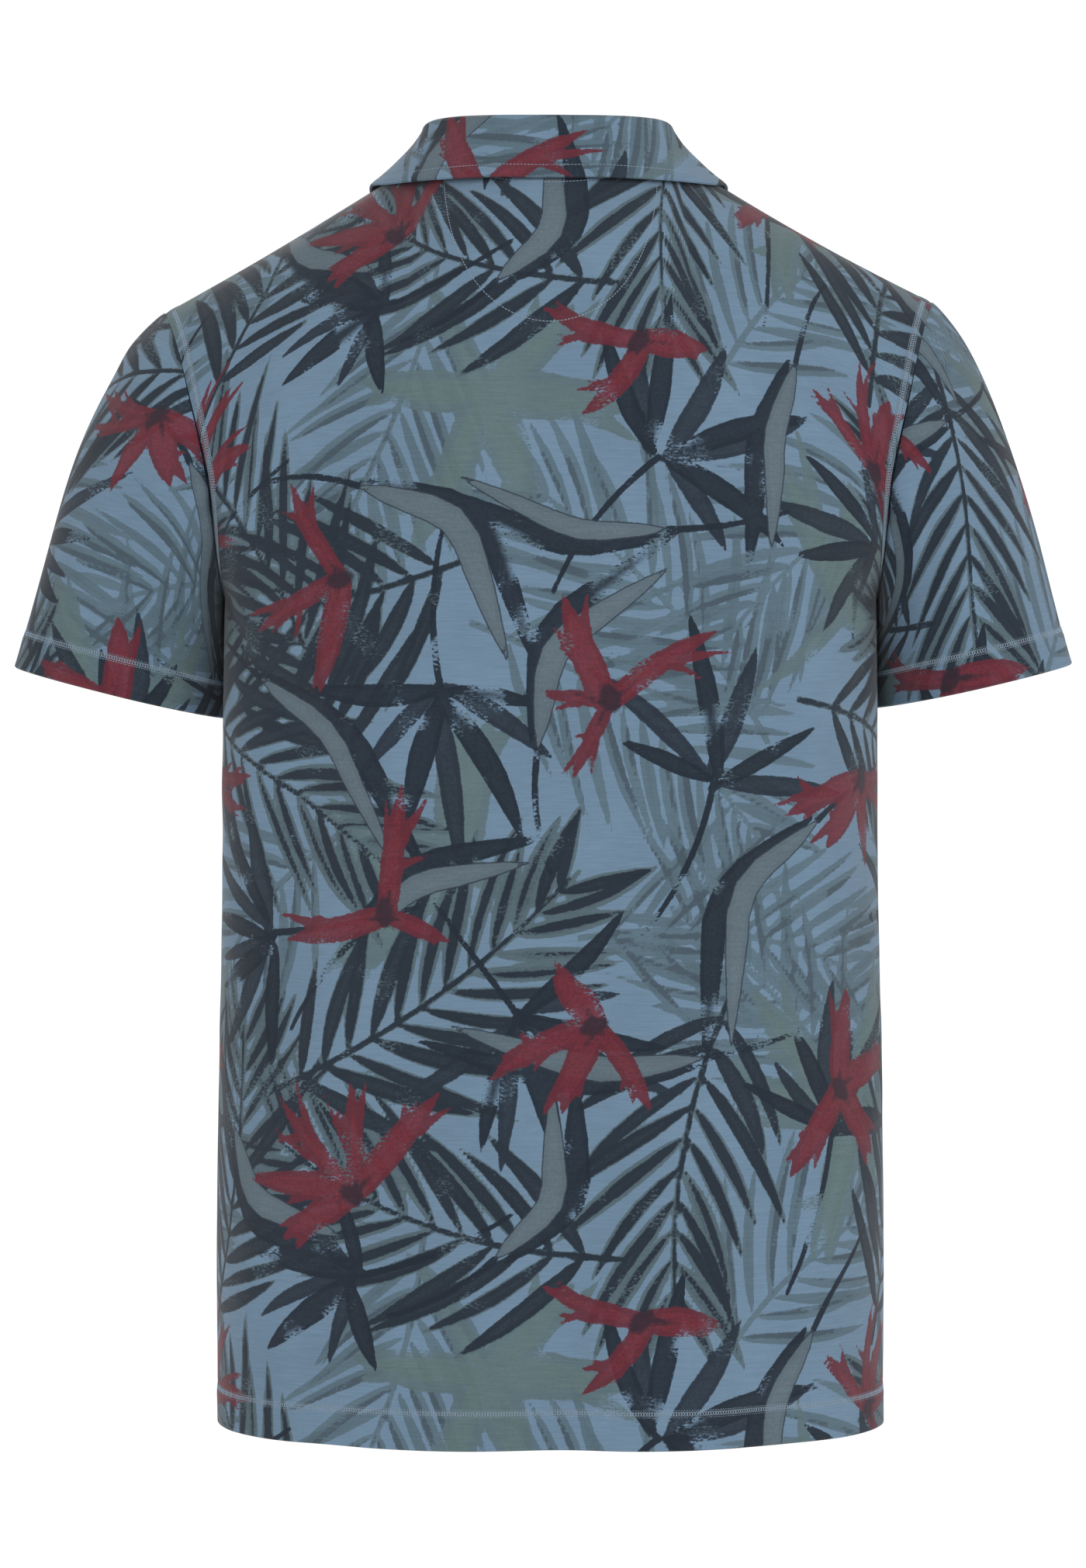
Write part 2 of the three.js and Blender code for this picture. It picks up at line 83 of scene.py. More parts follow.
def hermite(start: Array, pull0: Array, end: Array, pull1: Array, s: Array) -> Array:
    """Points on cubics that leave start along pull0 and arrive at end along pull1.

    Args:
        start: first points, last axis x, y, z.
        pull0: pulls at the start.
        end: last points.
        pull1: pulls at the end.
        s: share of the way, from 0 to 1.

    Returns:
        The points, each the sum of the four ends by its cubic weights.
    """
    h00, h10, h01, h11 = (weight[..., None] for weight in cubic_weights(s))
    return h00 * start + h10 * pull0 + h01 * end + h11 * pull1


def smooth_rows(keys: Sequence[float], values: Sequence[float], at: Array) -> Array:
    """Reads a column of a short table at any place, on cubics that pass through its rows.

    Args:
        keys: rising places of the rows.
        values: the column.
        at: where to read it.

    Returns:
        The values there; each cubic's slopes are the secants over its neighbours.
    """
    k, v = np.asarray(keys, float), np.asarray(values, float)
    slopes = np.empty_like(v)
    slopes[0] = (v[1] - v[0]) / (k[1] - k[0])
    slopes[-1] = (v[-1] - v[-2]) / (k[-1] - k[-2])
    slopes[1:-1] = (v[2:] - v[:-2]) / (k[2:] - k[:-2])
    i = np.clip(np.searchsorted(k, at, side="right") - 1, 0, len(k) - 2)
    span = k[i + 1] - k[i]
    h00, h10, h01, h11 = cubic_weights(np.clip((at - k[i]) / span, 0, 1))
    return h00 * v[i] + h10 * span * slopes[i] + h01 * v[i + 1] + h11 * span * slopes[i + 1]


def bell(distance: Array, width: Array | float) -> Array:
    """Bell curve of a distance: 1 at 0, and about a third at the width."""
    return np.exp(-((distance / width) ** 2))


def lengths_along(points: Array) -> Array:
    """Distance along a path from its start to each of its points."""
    return np.concatenate([[0.0], np.cumsum(np.linalg.norm(np.diff(points, axis=0), axis=1))])


def even_steps(points: Array, count: int) -> Array:
    """Shares of a path's own parameter, from 0 to 1, that lie evenly along its length."""
    lengths = lengths_along(points)
    return np.interp(np.linspace(0, lengths[-1], count + 1), lengths, np.linspace(0, 1, len(points)))


def waves(u: Array, v: Array, size: float, seed: int, count: int = 7) -> Array:
    """Soft uneven swell on flat cloth: a sum of a few sine waves in seeded directions.

    Args:
        u: distance across the cloth.
        v: distance up the cloth.
        size: typical length of a swell, in the same unit.
        seed: picks the directions, lengths and phases.
        count: how many waves are summed.

    Returns:
        Heights of about -1 to 1.
    """
    rng = np.random.default_rng(seed)
    total = np.zeros(np.broadcast(u, v).shape)
    for _ in range(count):
        heading = rng.uniform(0, math.tau)
        length = size * rng.uniform(0.7, 1.8)
        phase = rng.uniform(0, math.tau)
        total += np.sin(math.tau * (u * math.cos(heading) + v * math.sin(heading)) / length + phase)
    return total / math.sqrt(count)


# ---- Meshes ----
def make_object(
    name: str, points: Array, faces: Sequence[Array], uv: Array | None = None,
    values: dict[str, Array] | None = None, weld: Array | None = None, crease: float = 50.0,
) -> Object:
    """Puts a mesh into the scene as one object at the origin.

    Args:
        name: the piece's name.
        points: vertices in millimetres.
        faces: arrays of vertex numbers, one row for each face, one array for each face size.
        uv: flat place of each vertex, in millimetres, if it has one.
        values: named numbers on each vertex.
        weld: for each vertex, the one that takes its place; its flat place stays its own.
        crease: edges sharper than this angle, in degrees, stay sharp.

    Returns:
        The object.
    """
    corners = np.concatenate([face.ravel() for face in faces])
    sizes = np.concatenate([np.full(len(face), face.shape[1]) for face in faces])
    used, inverse = np.unique(corners if weld is None else weld[corners], return_inverse=True)
    mesh = bpy.data.meshes.new(name)
    mesh.vertices.add(len(used))
    mesh.vertices.foreach_set("co", (points[used] * MM).astype(np.float32).ravel())
    mesh.loops.add(len(corners))
    mesh.loops.foreach_set("vertex_index", inverse.astype(np.int32).ravel())
    mesh.polygons.add(len(sizes))
    starts = np.concatenate([[0], np.cumsum(sizes)[:-1]])
    mesh.polygons.foreach_set("loop_start", starts.astype(np.int32))
    mesh.update(calc_edges=True)
    if uv is not None:
        layer = mesh.uv_layers.new(name="cloth")
        layer.data.foreach_set("uv", (uv[corners] * MM).astype(np.float32).ravel())
    for key, numbers in (values or {}).items():
        store = mesh.attributes.new(key, "FLOAT", "POINT")
        store.data.foreach_set("value", numbers[used].astype(np.float32))
    mesh.shade_smooth()
    mesh.set_sharp_from_angle(angle=math.radians(crease))
    obj = bpy.data.objects.new(name, mesh)
    bpy.context.scene.collection.objects.link(obj)
    return obj


@dataclass(frozen=True)
class Lips:
    """How far each edge of a cloth bulges past its two faces, so that a folded edge looks round."""

    bottom: float = 0.0
    top: float = 0.0
    left: float = 0.0
    right: float = 0.0


@dataclass
class ClothGrid:
    """A stretch of cloth as a grid of points on its outer face, in millimetres.

    Rows run up the cloth and columns across it. A tube repeats its first column as its last one.
    """

    points: Array
    facing: int
    tube: bool = False

    def __post_init__(self) -> None:
        """Measures the cloth along its rows and columns."""
        across = np.linalg.norm(np.diff(self.points, axis=1), axis=-1)
        up = np.linalg.norm(np.diff(self.points, axis=0), axis=-1)
        self.to_left = np.pad(np.cumsum(across, axis=1), ((0, 0), (1, 0)))
        self.to_right = self.to_left[:, -1:] - self.to_left
        middle = self.points.shape[1] // 2
        self.u = self.to_left - self.to_left[:, middle : middle + 1]
        self.v = np.pad(np.cumsum(up, axis=0), ((1, 0), (0, 0)))
        self.to_top = self.v[-1:] - self.v
        self.update_normals()

    def update_normals(self) -> None:
        """Unit normals: the cross product of the differences over both neighbours."""
        p = self.points
        if self.tube:
            wide = np.concatenate([p[:, -2:-1], p, p[:, 1:2]], axis=1)
            self.across = unit(wide[:, 2:] - wide[:, :-2])
        else:
            self.across = unit(np.gradient(p, axis=1))
        self.up = unit(np.gradient(p, axis=0))
        self.normals = unit(self.facing * np.cross(self.across, self.up))

    def raise_by(self, height: Array | float) -> None:
        """Moves the outer face along its normals by a height in millimetres."""
        self.points = self.points + self.normals * np.broadcast_to(height, self.u.shape)[..., None]
        self.update_normals()

    def rows_up(self, distance: Array | float, columns: Sequence[float]) -> Array:
        """Fractional rows at a distance up from the bottom edge, for whole columns."""
        rows = np.arange(len(self.v))
        return np.array([np.interp(distance, self.v[:, int(c)], rows) for c in columns])

    def rows_down(self, distance: Array | float, columns: Sequence[float]) -> Array:
        """Fractional rows at a distance down from the top edge, for whole columns."""
        rows = np.arange(len(self.v))
        return np.array([np.interp(-distance, -self.to_top[:, int(c)], rows) for c in columns])

    def columns_in(self, distance: float, rows: Sequence[int]) -> tuple[Array, Array]:
        """Places at a distance in from the two side edges.

        Args:
            distance: from the edge.
            rows: whole rows.

        Returns:
            Fractional columns near the left edge and near the right one.
        """
        every = np.arange(self.u.shape[1])
        ends = (self.u[:, 0] + distance, self.u[:, -1] - distance)
        return tuple(np.array([np.interp(end[r], self.u[r], every) for r in rows]) for end in ends)

    def at(self, rows: Array, columns: Array) -> tuple[Array, Array, Array, Array]:
        """Points, normals, across and up directions at fractional rows and columns.

        Args:
            rows: fractional rows.
            columns: fractional columns.

        Returns:
            The four arrays.
        """
        r = np.clip(rows, 0, self.points.shape[0] - 1.001)
        c = np.clip(columns, 0, self.points.shape[1] - 1.001)
        r0, c0 = r.astype(int), c.astype(int)
        fr, fc = (r - r0)[:, None], (c - c0)[:, None]

        def mix(a: Array) -> Array:
            """Mix of a grid's numbers between the four points around each place."""
            low = a[r0, c0] * (1 - fc) + a[r0, c0 + 1] * fc
            return low * (1 - fr) + (a[r0 + 1, c0] * (1 - fc) + a[r0 + 1, c0 + 1] * fc) * fr

        return mix(self.points), unit(mix(self.normals)), unit(mix(self.across)), unit(mix(self.up))

    def shell(
        self, name: str, wall: Array | float, lips: Lips, keep: Array | None,
        values: dict[str, Array], stride: int = 2,
    ) -> Object:
        """Closes the cloth: its outer face, a coarser inner face and walls round every edge.

        Args:
            name: the piece's name.
            wall: thickness, the same everywhere or at each point.
            lips: bulge of each edge.
            keep: which of the coarse cells are there, or None for all.
            values: named numbers at each point.
            stride: outer cells for each inner one; both counts of cells divide by it.

        Returns:
            The object; its attribute "inside" is 1 on the inner face.
        """
        rows, columns = self.u.shape
        coarse = np.s_[::stride, ::stride]
        outer = self.points[coarse]
        inner = outer - self.normals[coarse] * np.broadcast_to(wall, self.u.shape)[coarse][..., None]
        lip = (outer + inner) / 2
        lip[0] -= self.up[coarse][0] * lips.bottom
        lip[-1] += self.up[coarse][-1] * lips.top
        if not self.tube:
            lip[:, 0] -= self.across[coarse][:, 0] * lips.left
            lip[:, -1] += self.across[coarse][:, -1] * lips.right
        kr, kc = outer.shape[:2]
        first_inner, first_lip = rows * columns, rows * columns + kr * kc
        kept = np.ones((kr - 1, kc - 1), bool) if keep is None else keep
        flipped = self.facing < 0
        ring = ((0, 0), (0, 1), (1, 1), (1, 0))

        def quads(mask: Array, first: int, wide: int, turned: bool) -> Array:
            """Corners of a layer's masked cells, its first vertex, width and turn being given."""
            r, c = np.nonzero(mask)
            return np.stack([first + (r + i) * wide + c + j for i, j in ring[:: -1 if turned else 1]], 1)

        fine = np.repeat(np.repeat(kept, stride, axis=0), stride, axis=1)
        faces = [quads(fine, 0, columns, flipped), quads(kept, first_inner, kc, not flipped)]
        padded = np.pad(kept, 1)
        if self.tube:
            padded[1:-1, 0], padded[1:-1, -1] = kept[:, -1], kept[:, 0]
        for turn, (down, aside) in enumerate(((0, 1), (1, 2), (2, 1), (1, 0))):
            r, c = np.nonzero(kept & ~padded[down : down + kr - 1, aside : aside + kc - 1])
            ends = [(r + i, c + j) for i, j in (ring[turn], ring[(turn + 1) % 4])]
            (ar, ac), (br, bc) = ends[::-1] if flipped else ends
            chain = [
                (ar * stride + (br - ar) * j) * columns + ac * stride + (bc - ac) * j
                for j in range(stride + 1)
            ]
            a, b = first_lip + ar * kc + ac, first_lip + br * kc + bc
            faces.append(np.stack(chain[::-1] + [a, b], axis=1))
            faces.append(np.stack([b, a, a - kr * kc, b - kr * kc], axis=1))

        def spread(number: Array) -> Array:
            """A number of the fine grid carried to all three layers, one after another."""
            layers = (number, number[coarse], number[coarse])
            return np.concatenate([layer.reshape(-1, *number.shape[2:]) for layer in layers])

        points = np.concatenate([layer.reshape(-1, 3) for layer in (self.points, inner, lip)])
        numbers = {key: spread(number) for key, number in values.items()}
        numbers["inside"] = np.zeros(len(points))
        numbers["inside"][first_inner:first_lip] = 1
        weld = np.arange(len(points))
        if self.tube:
            for first, last, wide in ((0, first_inner, columns), (first_inner, len(points), kc)):
                weld[first + wide - 1 : last : wide] -= wide - 1
        return make_object(name, points, faces, spread(np.stack([self.u, self.v], axis=-1)), numbers, weld)


def beads(name: str, starts: Array, ends: Array, normals: Array, radius: float, sides: int = 4) -> Object:
    """Stitches as short round threads, each swelling from its two ends to its middle.

    Args:
        name: the piece's name.
        starts: where each stitch goes in, in millimetres.
        ends: where it comes out.
        normals: the cloth's normals there.
        radius: half the thread's thickness.
        sides: of the thread's section.

    Returns:
        One joined object, with the number "dip": 1 where the thread dives into the cloth.
    """
    along = ends - starts
    binormal = unit(np.cross(along, normals))
    normal = unit(np.cross(binormal, along))
    angle = np.arange(sides) * math.tau / sides
    circle = np.cos(angle)[:, None] * normal[:, None] + np.sin(angle)[:, None] * binormal[:, None]
    rings = []
    # Sections along a stitch: share of its length, girth, lift off the cloth.
    for share, girth, lift in ((0.0, 0.45, -0.5), (0.2, 0.95, 0.1), (0.8, 0.95, 0.1), (1.0, 0.45, -0.5)):
        centre = starts + along * share + normals * radius * lift
        rings.append(centre[:, None] + circle * radius * girth)
    points = np.stack(rings, axis=1)
    count, deep = points.shape[:2]
    first = np.arange(count)[:, None, None] * deep * sides + np.arange(deep - 1)[None, :, None] * sides
    side = np.arange(sides)[None, None, :]
    ahead = (side + 1) % sides
    quad = np.stack([first + side, first + sides + side, first + sides + ahead, first + ahead], axis=-1)
    cap = np.arange(count)[:, None] * deep * sides + np.arange(sides)[None]
    faces = [quad.reshape(-1, 4), cap, cap[:, ::-1] + (deep - 1) * sides]
    # Weight of the painted shade at the needle holes: 1 at a stitch's two ends, where it dives into the
    # cloth, and 0 along its middle.
    dip_shade = np.tile(np.repeat([1.0, 0.0, 0.0, 1.0], sides), count)
    return make_object(name, points.reshape(-1, 3), faces, values={"dip_shade": dip_shade}, crease=80)


# ---- The shirt's worn form ----
class Panel(Enum):
    """The two body panels; the value is the side of Y that each is on."""

    BACK = 1
    FRONT = -1


@dataclass(frozen=True)
class Hang:
    """How one side hangs.

    It holds the shoulder tip, the sag of the shoulder's line, the sleeve's hem with its reach and
    tilt, how full the sleeve's outline is, its crown above that, the slope it leaves the tip at, and
    how much the collar is drawn in at its fold and edge.
    """

    name: str
    sign: int
    tip: Pair
    sag: float
    hem: Pair
    reach: float
    rise: float
    fullness: float
    crown: float
    over: tuple[float, float, float]
    collar: Pair


LEFT = Hang(
    "left", 1, (219, -86.4), 1.3, (244.4, -302), 60.0, 15, 0.81, 1.8, (0.8, 0, -0.6), (1, 1)
)
RIGHT = Hang(
    "right", -1, (217, -80.4), 2.4, (240.6, -298), 56.3, 13, 0.85, 0.2, (0.72, 0, -0.69), (0.955, 0.98)
)


@dataclass(frozen=True)
class Form:
    """The shirt's cut as it is worn, in millimetres, with its origin at the middle of the neck."""

    hem_z: float = -717.0
    underarm_z: float = -248.0
    neck_half: float = 72.0
    neck_share: float = 0.3
    roundness: float = 2.3
    rise_pull: float = 240.0
    seam_pull: float = 250.0
    neck_lean: float = 0.5
    # Middle of each neckline: depth, height and how late the height drops on the way there.
    back_neck: tuple = (68, -13, 2.0)
    front_neck: tuple = (-84, -78, 2.1)
    # Sections of the body from the hem up: height, half breadth, depth behind, depth in front.
    body_rows: tuple = (
        (-717, 190, 117, 121),
        (-610, 190.5, 118, 122),
        (-500, 188.5, 118, 122),
        (-400, 186.5, 120, 124),
        (-320, 186, 121, 126),
        (-248, 185, 121, 126),
    )
    # Armhole seams from the underarm to the shoulder tip: share of the length, x, y, z.
    back_armhole: tuple = (
        (0, 185, 0, -248),
        (0.21, 186.5, 42, -225),
        (0.41, 190.5, 61, -184),
        (0.66, 201.5, 54, -137),
        (0.83, 209.5, 37, -108),
        (0.93, 215, 19, -94.5),
        (1, 219, 0, -88),
    )
    front_armhole: tuple = (
        (0, 185, 0, -248),
        (0.23, 184, -46, -226),
        (0.44, 186, -66, -184),
        (0.68, 197, -57, -139),
        (0.84, 207, -39, -109),
        (0.93, 214, -20, -95),
        (1, 219, 0, -88),
    )
    # Soft hollows down to the hem: panel, x, half width, depth at the hem, start height, lean.
    hollows: tuple = (
        (Panel.BACK, -2, 30, 6, -380, 0),
        (Panel.BACK, 112, 26, 4, -470, 10),
        (Panel.BACK, -118, 24, 3.5, -500, -8),
        (Panel.FRONT, 8, 34, 5, -400, 4),
        (Panel.FRONT, 104, 26, 4, -480, 12),
        (Panel.FRONT, -110, 28, 4.5, -450, -10),
    )

    def tip(self, sign: Array) -> Array:
        """Shoulder tips on the given sides of X."""
        x, z = (np.where(sign > 0, LEFT.tip[k], RIGHT.tip[k]) for k in (0, 1))
        return np.stack([sign * x, np.zeros_like(x, float), z], axis=-1).astype(float)

    def neck(self, panel: Panel, sign: Array, share: Array) -> Array:
        """Neckline from its middle (share 0) to the shoulder seam (share 1).

        It is a quarter oval in plan, x by the sine and y by the cosine of a quarter turn, whose
        height falls with a power of the cosine.

        Args:
            panel: back or front.
            sign: side of X.
            share: of the way from the middle.

        Returns:
            The points.
        """
        depth, height, bend = self.back_neck if panel is Panel.BACK else self.front_neck
        angle = share * math.pi / 2
        cosine = np.maximum(np.cos(angle), 0)
        x = sign * self.neck_half * np.sin(angle)
        return np.stack([x, depth * cosine, height * cosine**bend], axis=-1)

    def top(self, panel: Panel, sign: Array, t: Array) -> Array:
        """Top edge of half a panel: the neckline, then the shoulder seam with its slight sag.

        Args:
            panel: back or front.
            sign: side of X.
            t: 0 in the middle, 1 at the shoulder tip.

        Returns:
            The points.
        """
        along = np.clip((t - self.neck_share) / (1 - self.neck_share), 0, 1)[..., None]
        neck = self.neck(panel, sign, np.clip(t / self.neck_share, 0, 1))
        shoulder = neck * (1 - along) + self.tip(sign) * along
        sag = np.where(sign > 0, LEFT.sag, RIGHT.sag)
        shoulder[..., 2] -= sag * np.sin(math.pi * along[..., 0])
        return np.where(along > 0, shoulder, neck)

    def body(self, panel: Panel, sign: Array, t: Array, z: Array) -> Array:
        """Oval section of the body.

        Args:
            panel: which panel.
            sign: side of X.
            t: 0 in the middle of the panel, 1 at the side seam.
            z: height.

        Returns:
            Points whose x and y are the half breadth and depth times a power of the sine and cosine.
        """
        heights, halves, backs, fronts = np.array(self.body_rows, float).T
        half = smooth_rows(heights, halves, z)
        depth = smooth_rows(heights, backs if panel is Panel.BACK else fronts, z)
        angle = t * math.pi / 2
        x = sign * half * np.sin(angle) ** (2 / self.roundness)
        y = panel.value * depth * np.maximum(np.cos(angle), 0) ** (2 / self.roundness)
        return np.stack([x, y, np.broadcast_to(z, x.shape)], axis=-1)

    def armhole(self, panel: Panel, sign: Array, share: Array) -> Array:
        """Armhole seam from the underarm (share 0) to the shoulder tip (share 1).

        Args:
            panel: back or front.
            sign: side of X.
            share: of the seam's length.

        Returns:
            The points, stretched so that they end at this side's own tip.
        """
        table = self.back_armhole if panel is Panel.BACK else self.front_armhole
        keys, xs, ys, zs = np.array(table, float).T
        x, y, z = (smooth_rows(keys, column, share) for column in (xs, ys, zs))
        tip, spread = self.tip(sign), share**2
        x = x + (np.abs(tip[..., 0]) - xs[-1]) * spread
        z = z + (tip[..., 2] - zs[-1]) * spread
        return np.stack([sign * x, y, z], axis=-1)

    def yoke(self, panel: Panel, sign: Array, t: Array, s: Array) -> Array:
        """Panel from the underarm (s 0) to its top edge (s 1), rounded over by cubics.

        Each cubic rises straight up from the body and arrives level at the shoulder seam, or leaning
        back at the neckline. What it misses the armhole by is added with the square of t.

        Args:
            panel: back or front.
            sign: side of X.
            t: 0 in the middle, 1 at the armhole.
            s: 0 at the underarm, 1 at the top edge.

        Returns:
            The points.
        """
        seam = np.array([0, -panel.value, 0.0])
        neck = np.array([0, -panel.value * self.neck_lean, math.sqrt(1 - self.neck_lean**2)])
        turn = (np.clip(t / self.neck_share, 0, 1) ** 1.5)[..., None]
        rise = np.array([0, 0, self.rise_pull])

        def cubic(at: Array, arrive: Array) -> Array:
            """The plain cubic at a share t, arriving along a direction."""
            low, high = self.body(panel, sign, at, self.underarm_z), self.top(panel, sign, at)
            return hermite(low, rise, high, arrive * self.seam_pull, s)

        missed = self.armhole(panel, sign, s) - cubic(np.ones_like(t), seam)
        return cubic(t, neck * (1 - turn) + seam * turn) + missed * (t * t)[..., None]

    def panel(self, panel: Panel, across: Array, up: Array) -> Array:
        """A panel's outer face.

        Args:
            panel: which panel.
            across: from -1 at one side seam to 1 at the other.
            up: 0 at the hem, 1 at the underarm, 2 at the top.

        Returns:
            Points, with the soft hollows pressed in.
        """
        across, up = np.broadcast_arrays(across, up)
        sign, t = np.where(across < 0, -1, 1), np.abs(across)
        z = self.hem_z + (self.underarm_z - self.hem_z) * np.minimum(up, 1)
        low = self.body(panel, sign, t, z)
        high = self.yoke(panel, sign, t, np.clip(up - 1, 0, 1))
        points = np.where((up <= 1)[..., None], low, high)
        for which, x, width, depth, start, lean in self.hollows:
            if which is panel:
                run = np.clip((start - points[..., 2]) / (start - self.hem_z), 0, None)
                hollow = depth * run**1.3 * bell(points[..., 0] - x - lean * run, width)
                points[..., 1] -= panel.value * hollow
        return points


FORM = Form()
WALL = 1.2
HEM_DEPTH = 20.0
HEM_EXTRA = 0.9  # how much thicker the turned-up hem is


@dataclass(frozen=True)
class Crease:
    """A soft trough (or, with a negative depth, ridge) drawn on flat cloth."""

    start: Pair
    end: Pair
    bow: float
    width: float
    depth: float

    def height(self, u: Array, v: Array) -> Array:
        """Bell section across a bowed line, fading out at both ends as a half sine.

        Args:
            u: distance from the middle.
            v: distance up from the hem.

        Returns:
            Heights in millimetres, below 0 in a trough.
        """
        a, b = np.array(self.start, float), np.array(self.end, float)
        run = b - a
        length = float(np.hypot(*run))
        s = np.clip(((u - a[0]) * run[0] + (v - a[1]) * run[1]) / length**2, 0, 1)
        off = ((v - a[1]) * run[0] - (u - a[0]) * run[1]) / length - self.bow * 4 * s * (1 - s)
        taper = np.sin(math.pi * s) ** 0.8
        return -self.depth * taper * bell(off, self.width * (0.6 + 0.4 * taper))


def hem_relief(above: Array, along: Array, seed: int) -> Array:
    """Height of a turned-up hem: a step at its stitches, a groove under them and small puckers.

    Args:
        above: distance up from the hem's edge.
        along: distance along it.
        seed: of the uneven puckers.

    Returns:
        Heights in millimetres.
    """
    step = 0.45 * (1 - fade(HEM_DEPTH - 1.0, HEM_DEPTH + 2.5, above))
    ripple = np.sin(math.tau * along / 7.3 + 1.6 * np.sin(along / 23.0 + seed))
    return step - 0.4 * bell(above - HEM_DEPTH, 2.2) + 0.16 * ripple * bell(above - HEM_DEPTH + 2, 8)


def hem_wall(cloth: ClothGrid) -> Array:
    """Thickness of cloth whose bottom edge is turned up into a hem."""
    return WALL + HEM_EXTRA * (1 - fade(HEM_DEPTH, HEM_DEPTH + 2, cloth.v))


def seam_roll(distance: Array, depth: Array | float) -> Array:
    """Cloth dipping into a seam: a bell section of the distance to it."""
    return -depth * bell(distance, 2.4)


# ---- The print ----
@dataclass
class Stroke:
    """One brush stroke on flat cloth: a line of points with half the width at each."""

    line: Array
    half: Array

    def narrowed(self, share: float, aside: float, reach: float) -> Stroke:
        """The same stroke at a share of its width, moved aside and cut to a share of its length.

        Args:
            share: of its width.
            aside: distance to its left.
            reach: share of its length.

        Returns:
            The new stroke.
        """
        run = np.gradient(self.line, axis=0)
        normal = np.stack([-run[:, 1], run[:, 0]], axis=-1)
        normal = normal / np.maximum(np.linalg.norm(normal, axis=-1, keepdims=True), 1e-6)
        line = self.line[0] + (self.line - self.line[0]) * reach + normal * aside
        return Stroke(line, self.half * share)


class Tip(Enum):
    """How a stroke's width runs along it."""

    LEAF = "pointed at both ends"
    SPIKE = "broad at the start, pointed at the end"
    PETAL = "broadest before its middle, pointed at the end"
    STALK = "nearly even"


def swept_stroke(
    start: Array, heading: float, length: float, bend: float, half: float, tip: Tip = Tip.LEAF,
    knee: float = 1.0,
) -> Stroke:
    """A stroke that curves as it goes.

    Args:
        start: first point.
        heading: direction at the start, in radians.
        length: along the stroke.
        bend: turn over the whole length, in radians.
        half: greatest half width.
        tip: how the width runs.
        knee: share of the length over which the turn is made, about its first third.

    Returns:
        The stroke. A leaf's width goes with a power of the sine of the share of its length, a spike's
        falls from its start with a power of the rest, a petal's swells first and then falls so, and
        a stalk's thins only slightly.
    """
    s = np.linspace(0, 1, 11)
    turn = s if knee >= 1 else fade(0.36 - knee / 2, 0.36 + knee / 2, s)
    angle = heading + bend * turn
    steps = np.stack([np.cos(angle), np.sin(angle)], axis=-1) * length / (len(s) - 1)
    line = np.asarray(start) + np.concatenate([[[0.0, 0.0]], np.cumsum(steps[:-1], axis=0)])
    width = {
        Tip.LEAF: np.sin(math.pi * np.clip(s**0.85 * 0.97 + 0.02, 0, 1)) ** 0.75,
        Tip.SPIKE: np.clip(1 - s, 0.02, 1) ** 0.7,
        Tip.PETAL: (0.8 + 1.8 * s) * np.clip(1 - s, 0.015, 1) ** 0.95,
        Tip.STALK: 1 - 0.3 * s,
    }[tip]
    return Stroke(line, half * width)


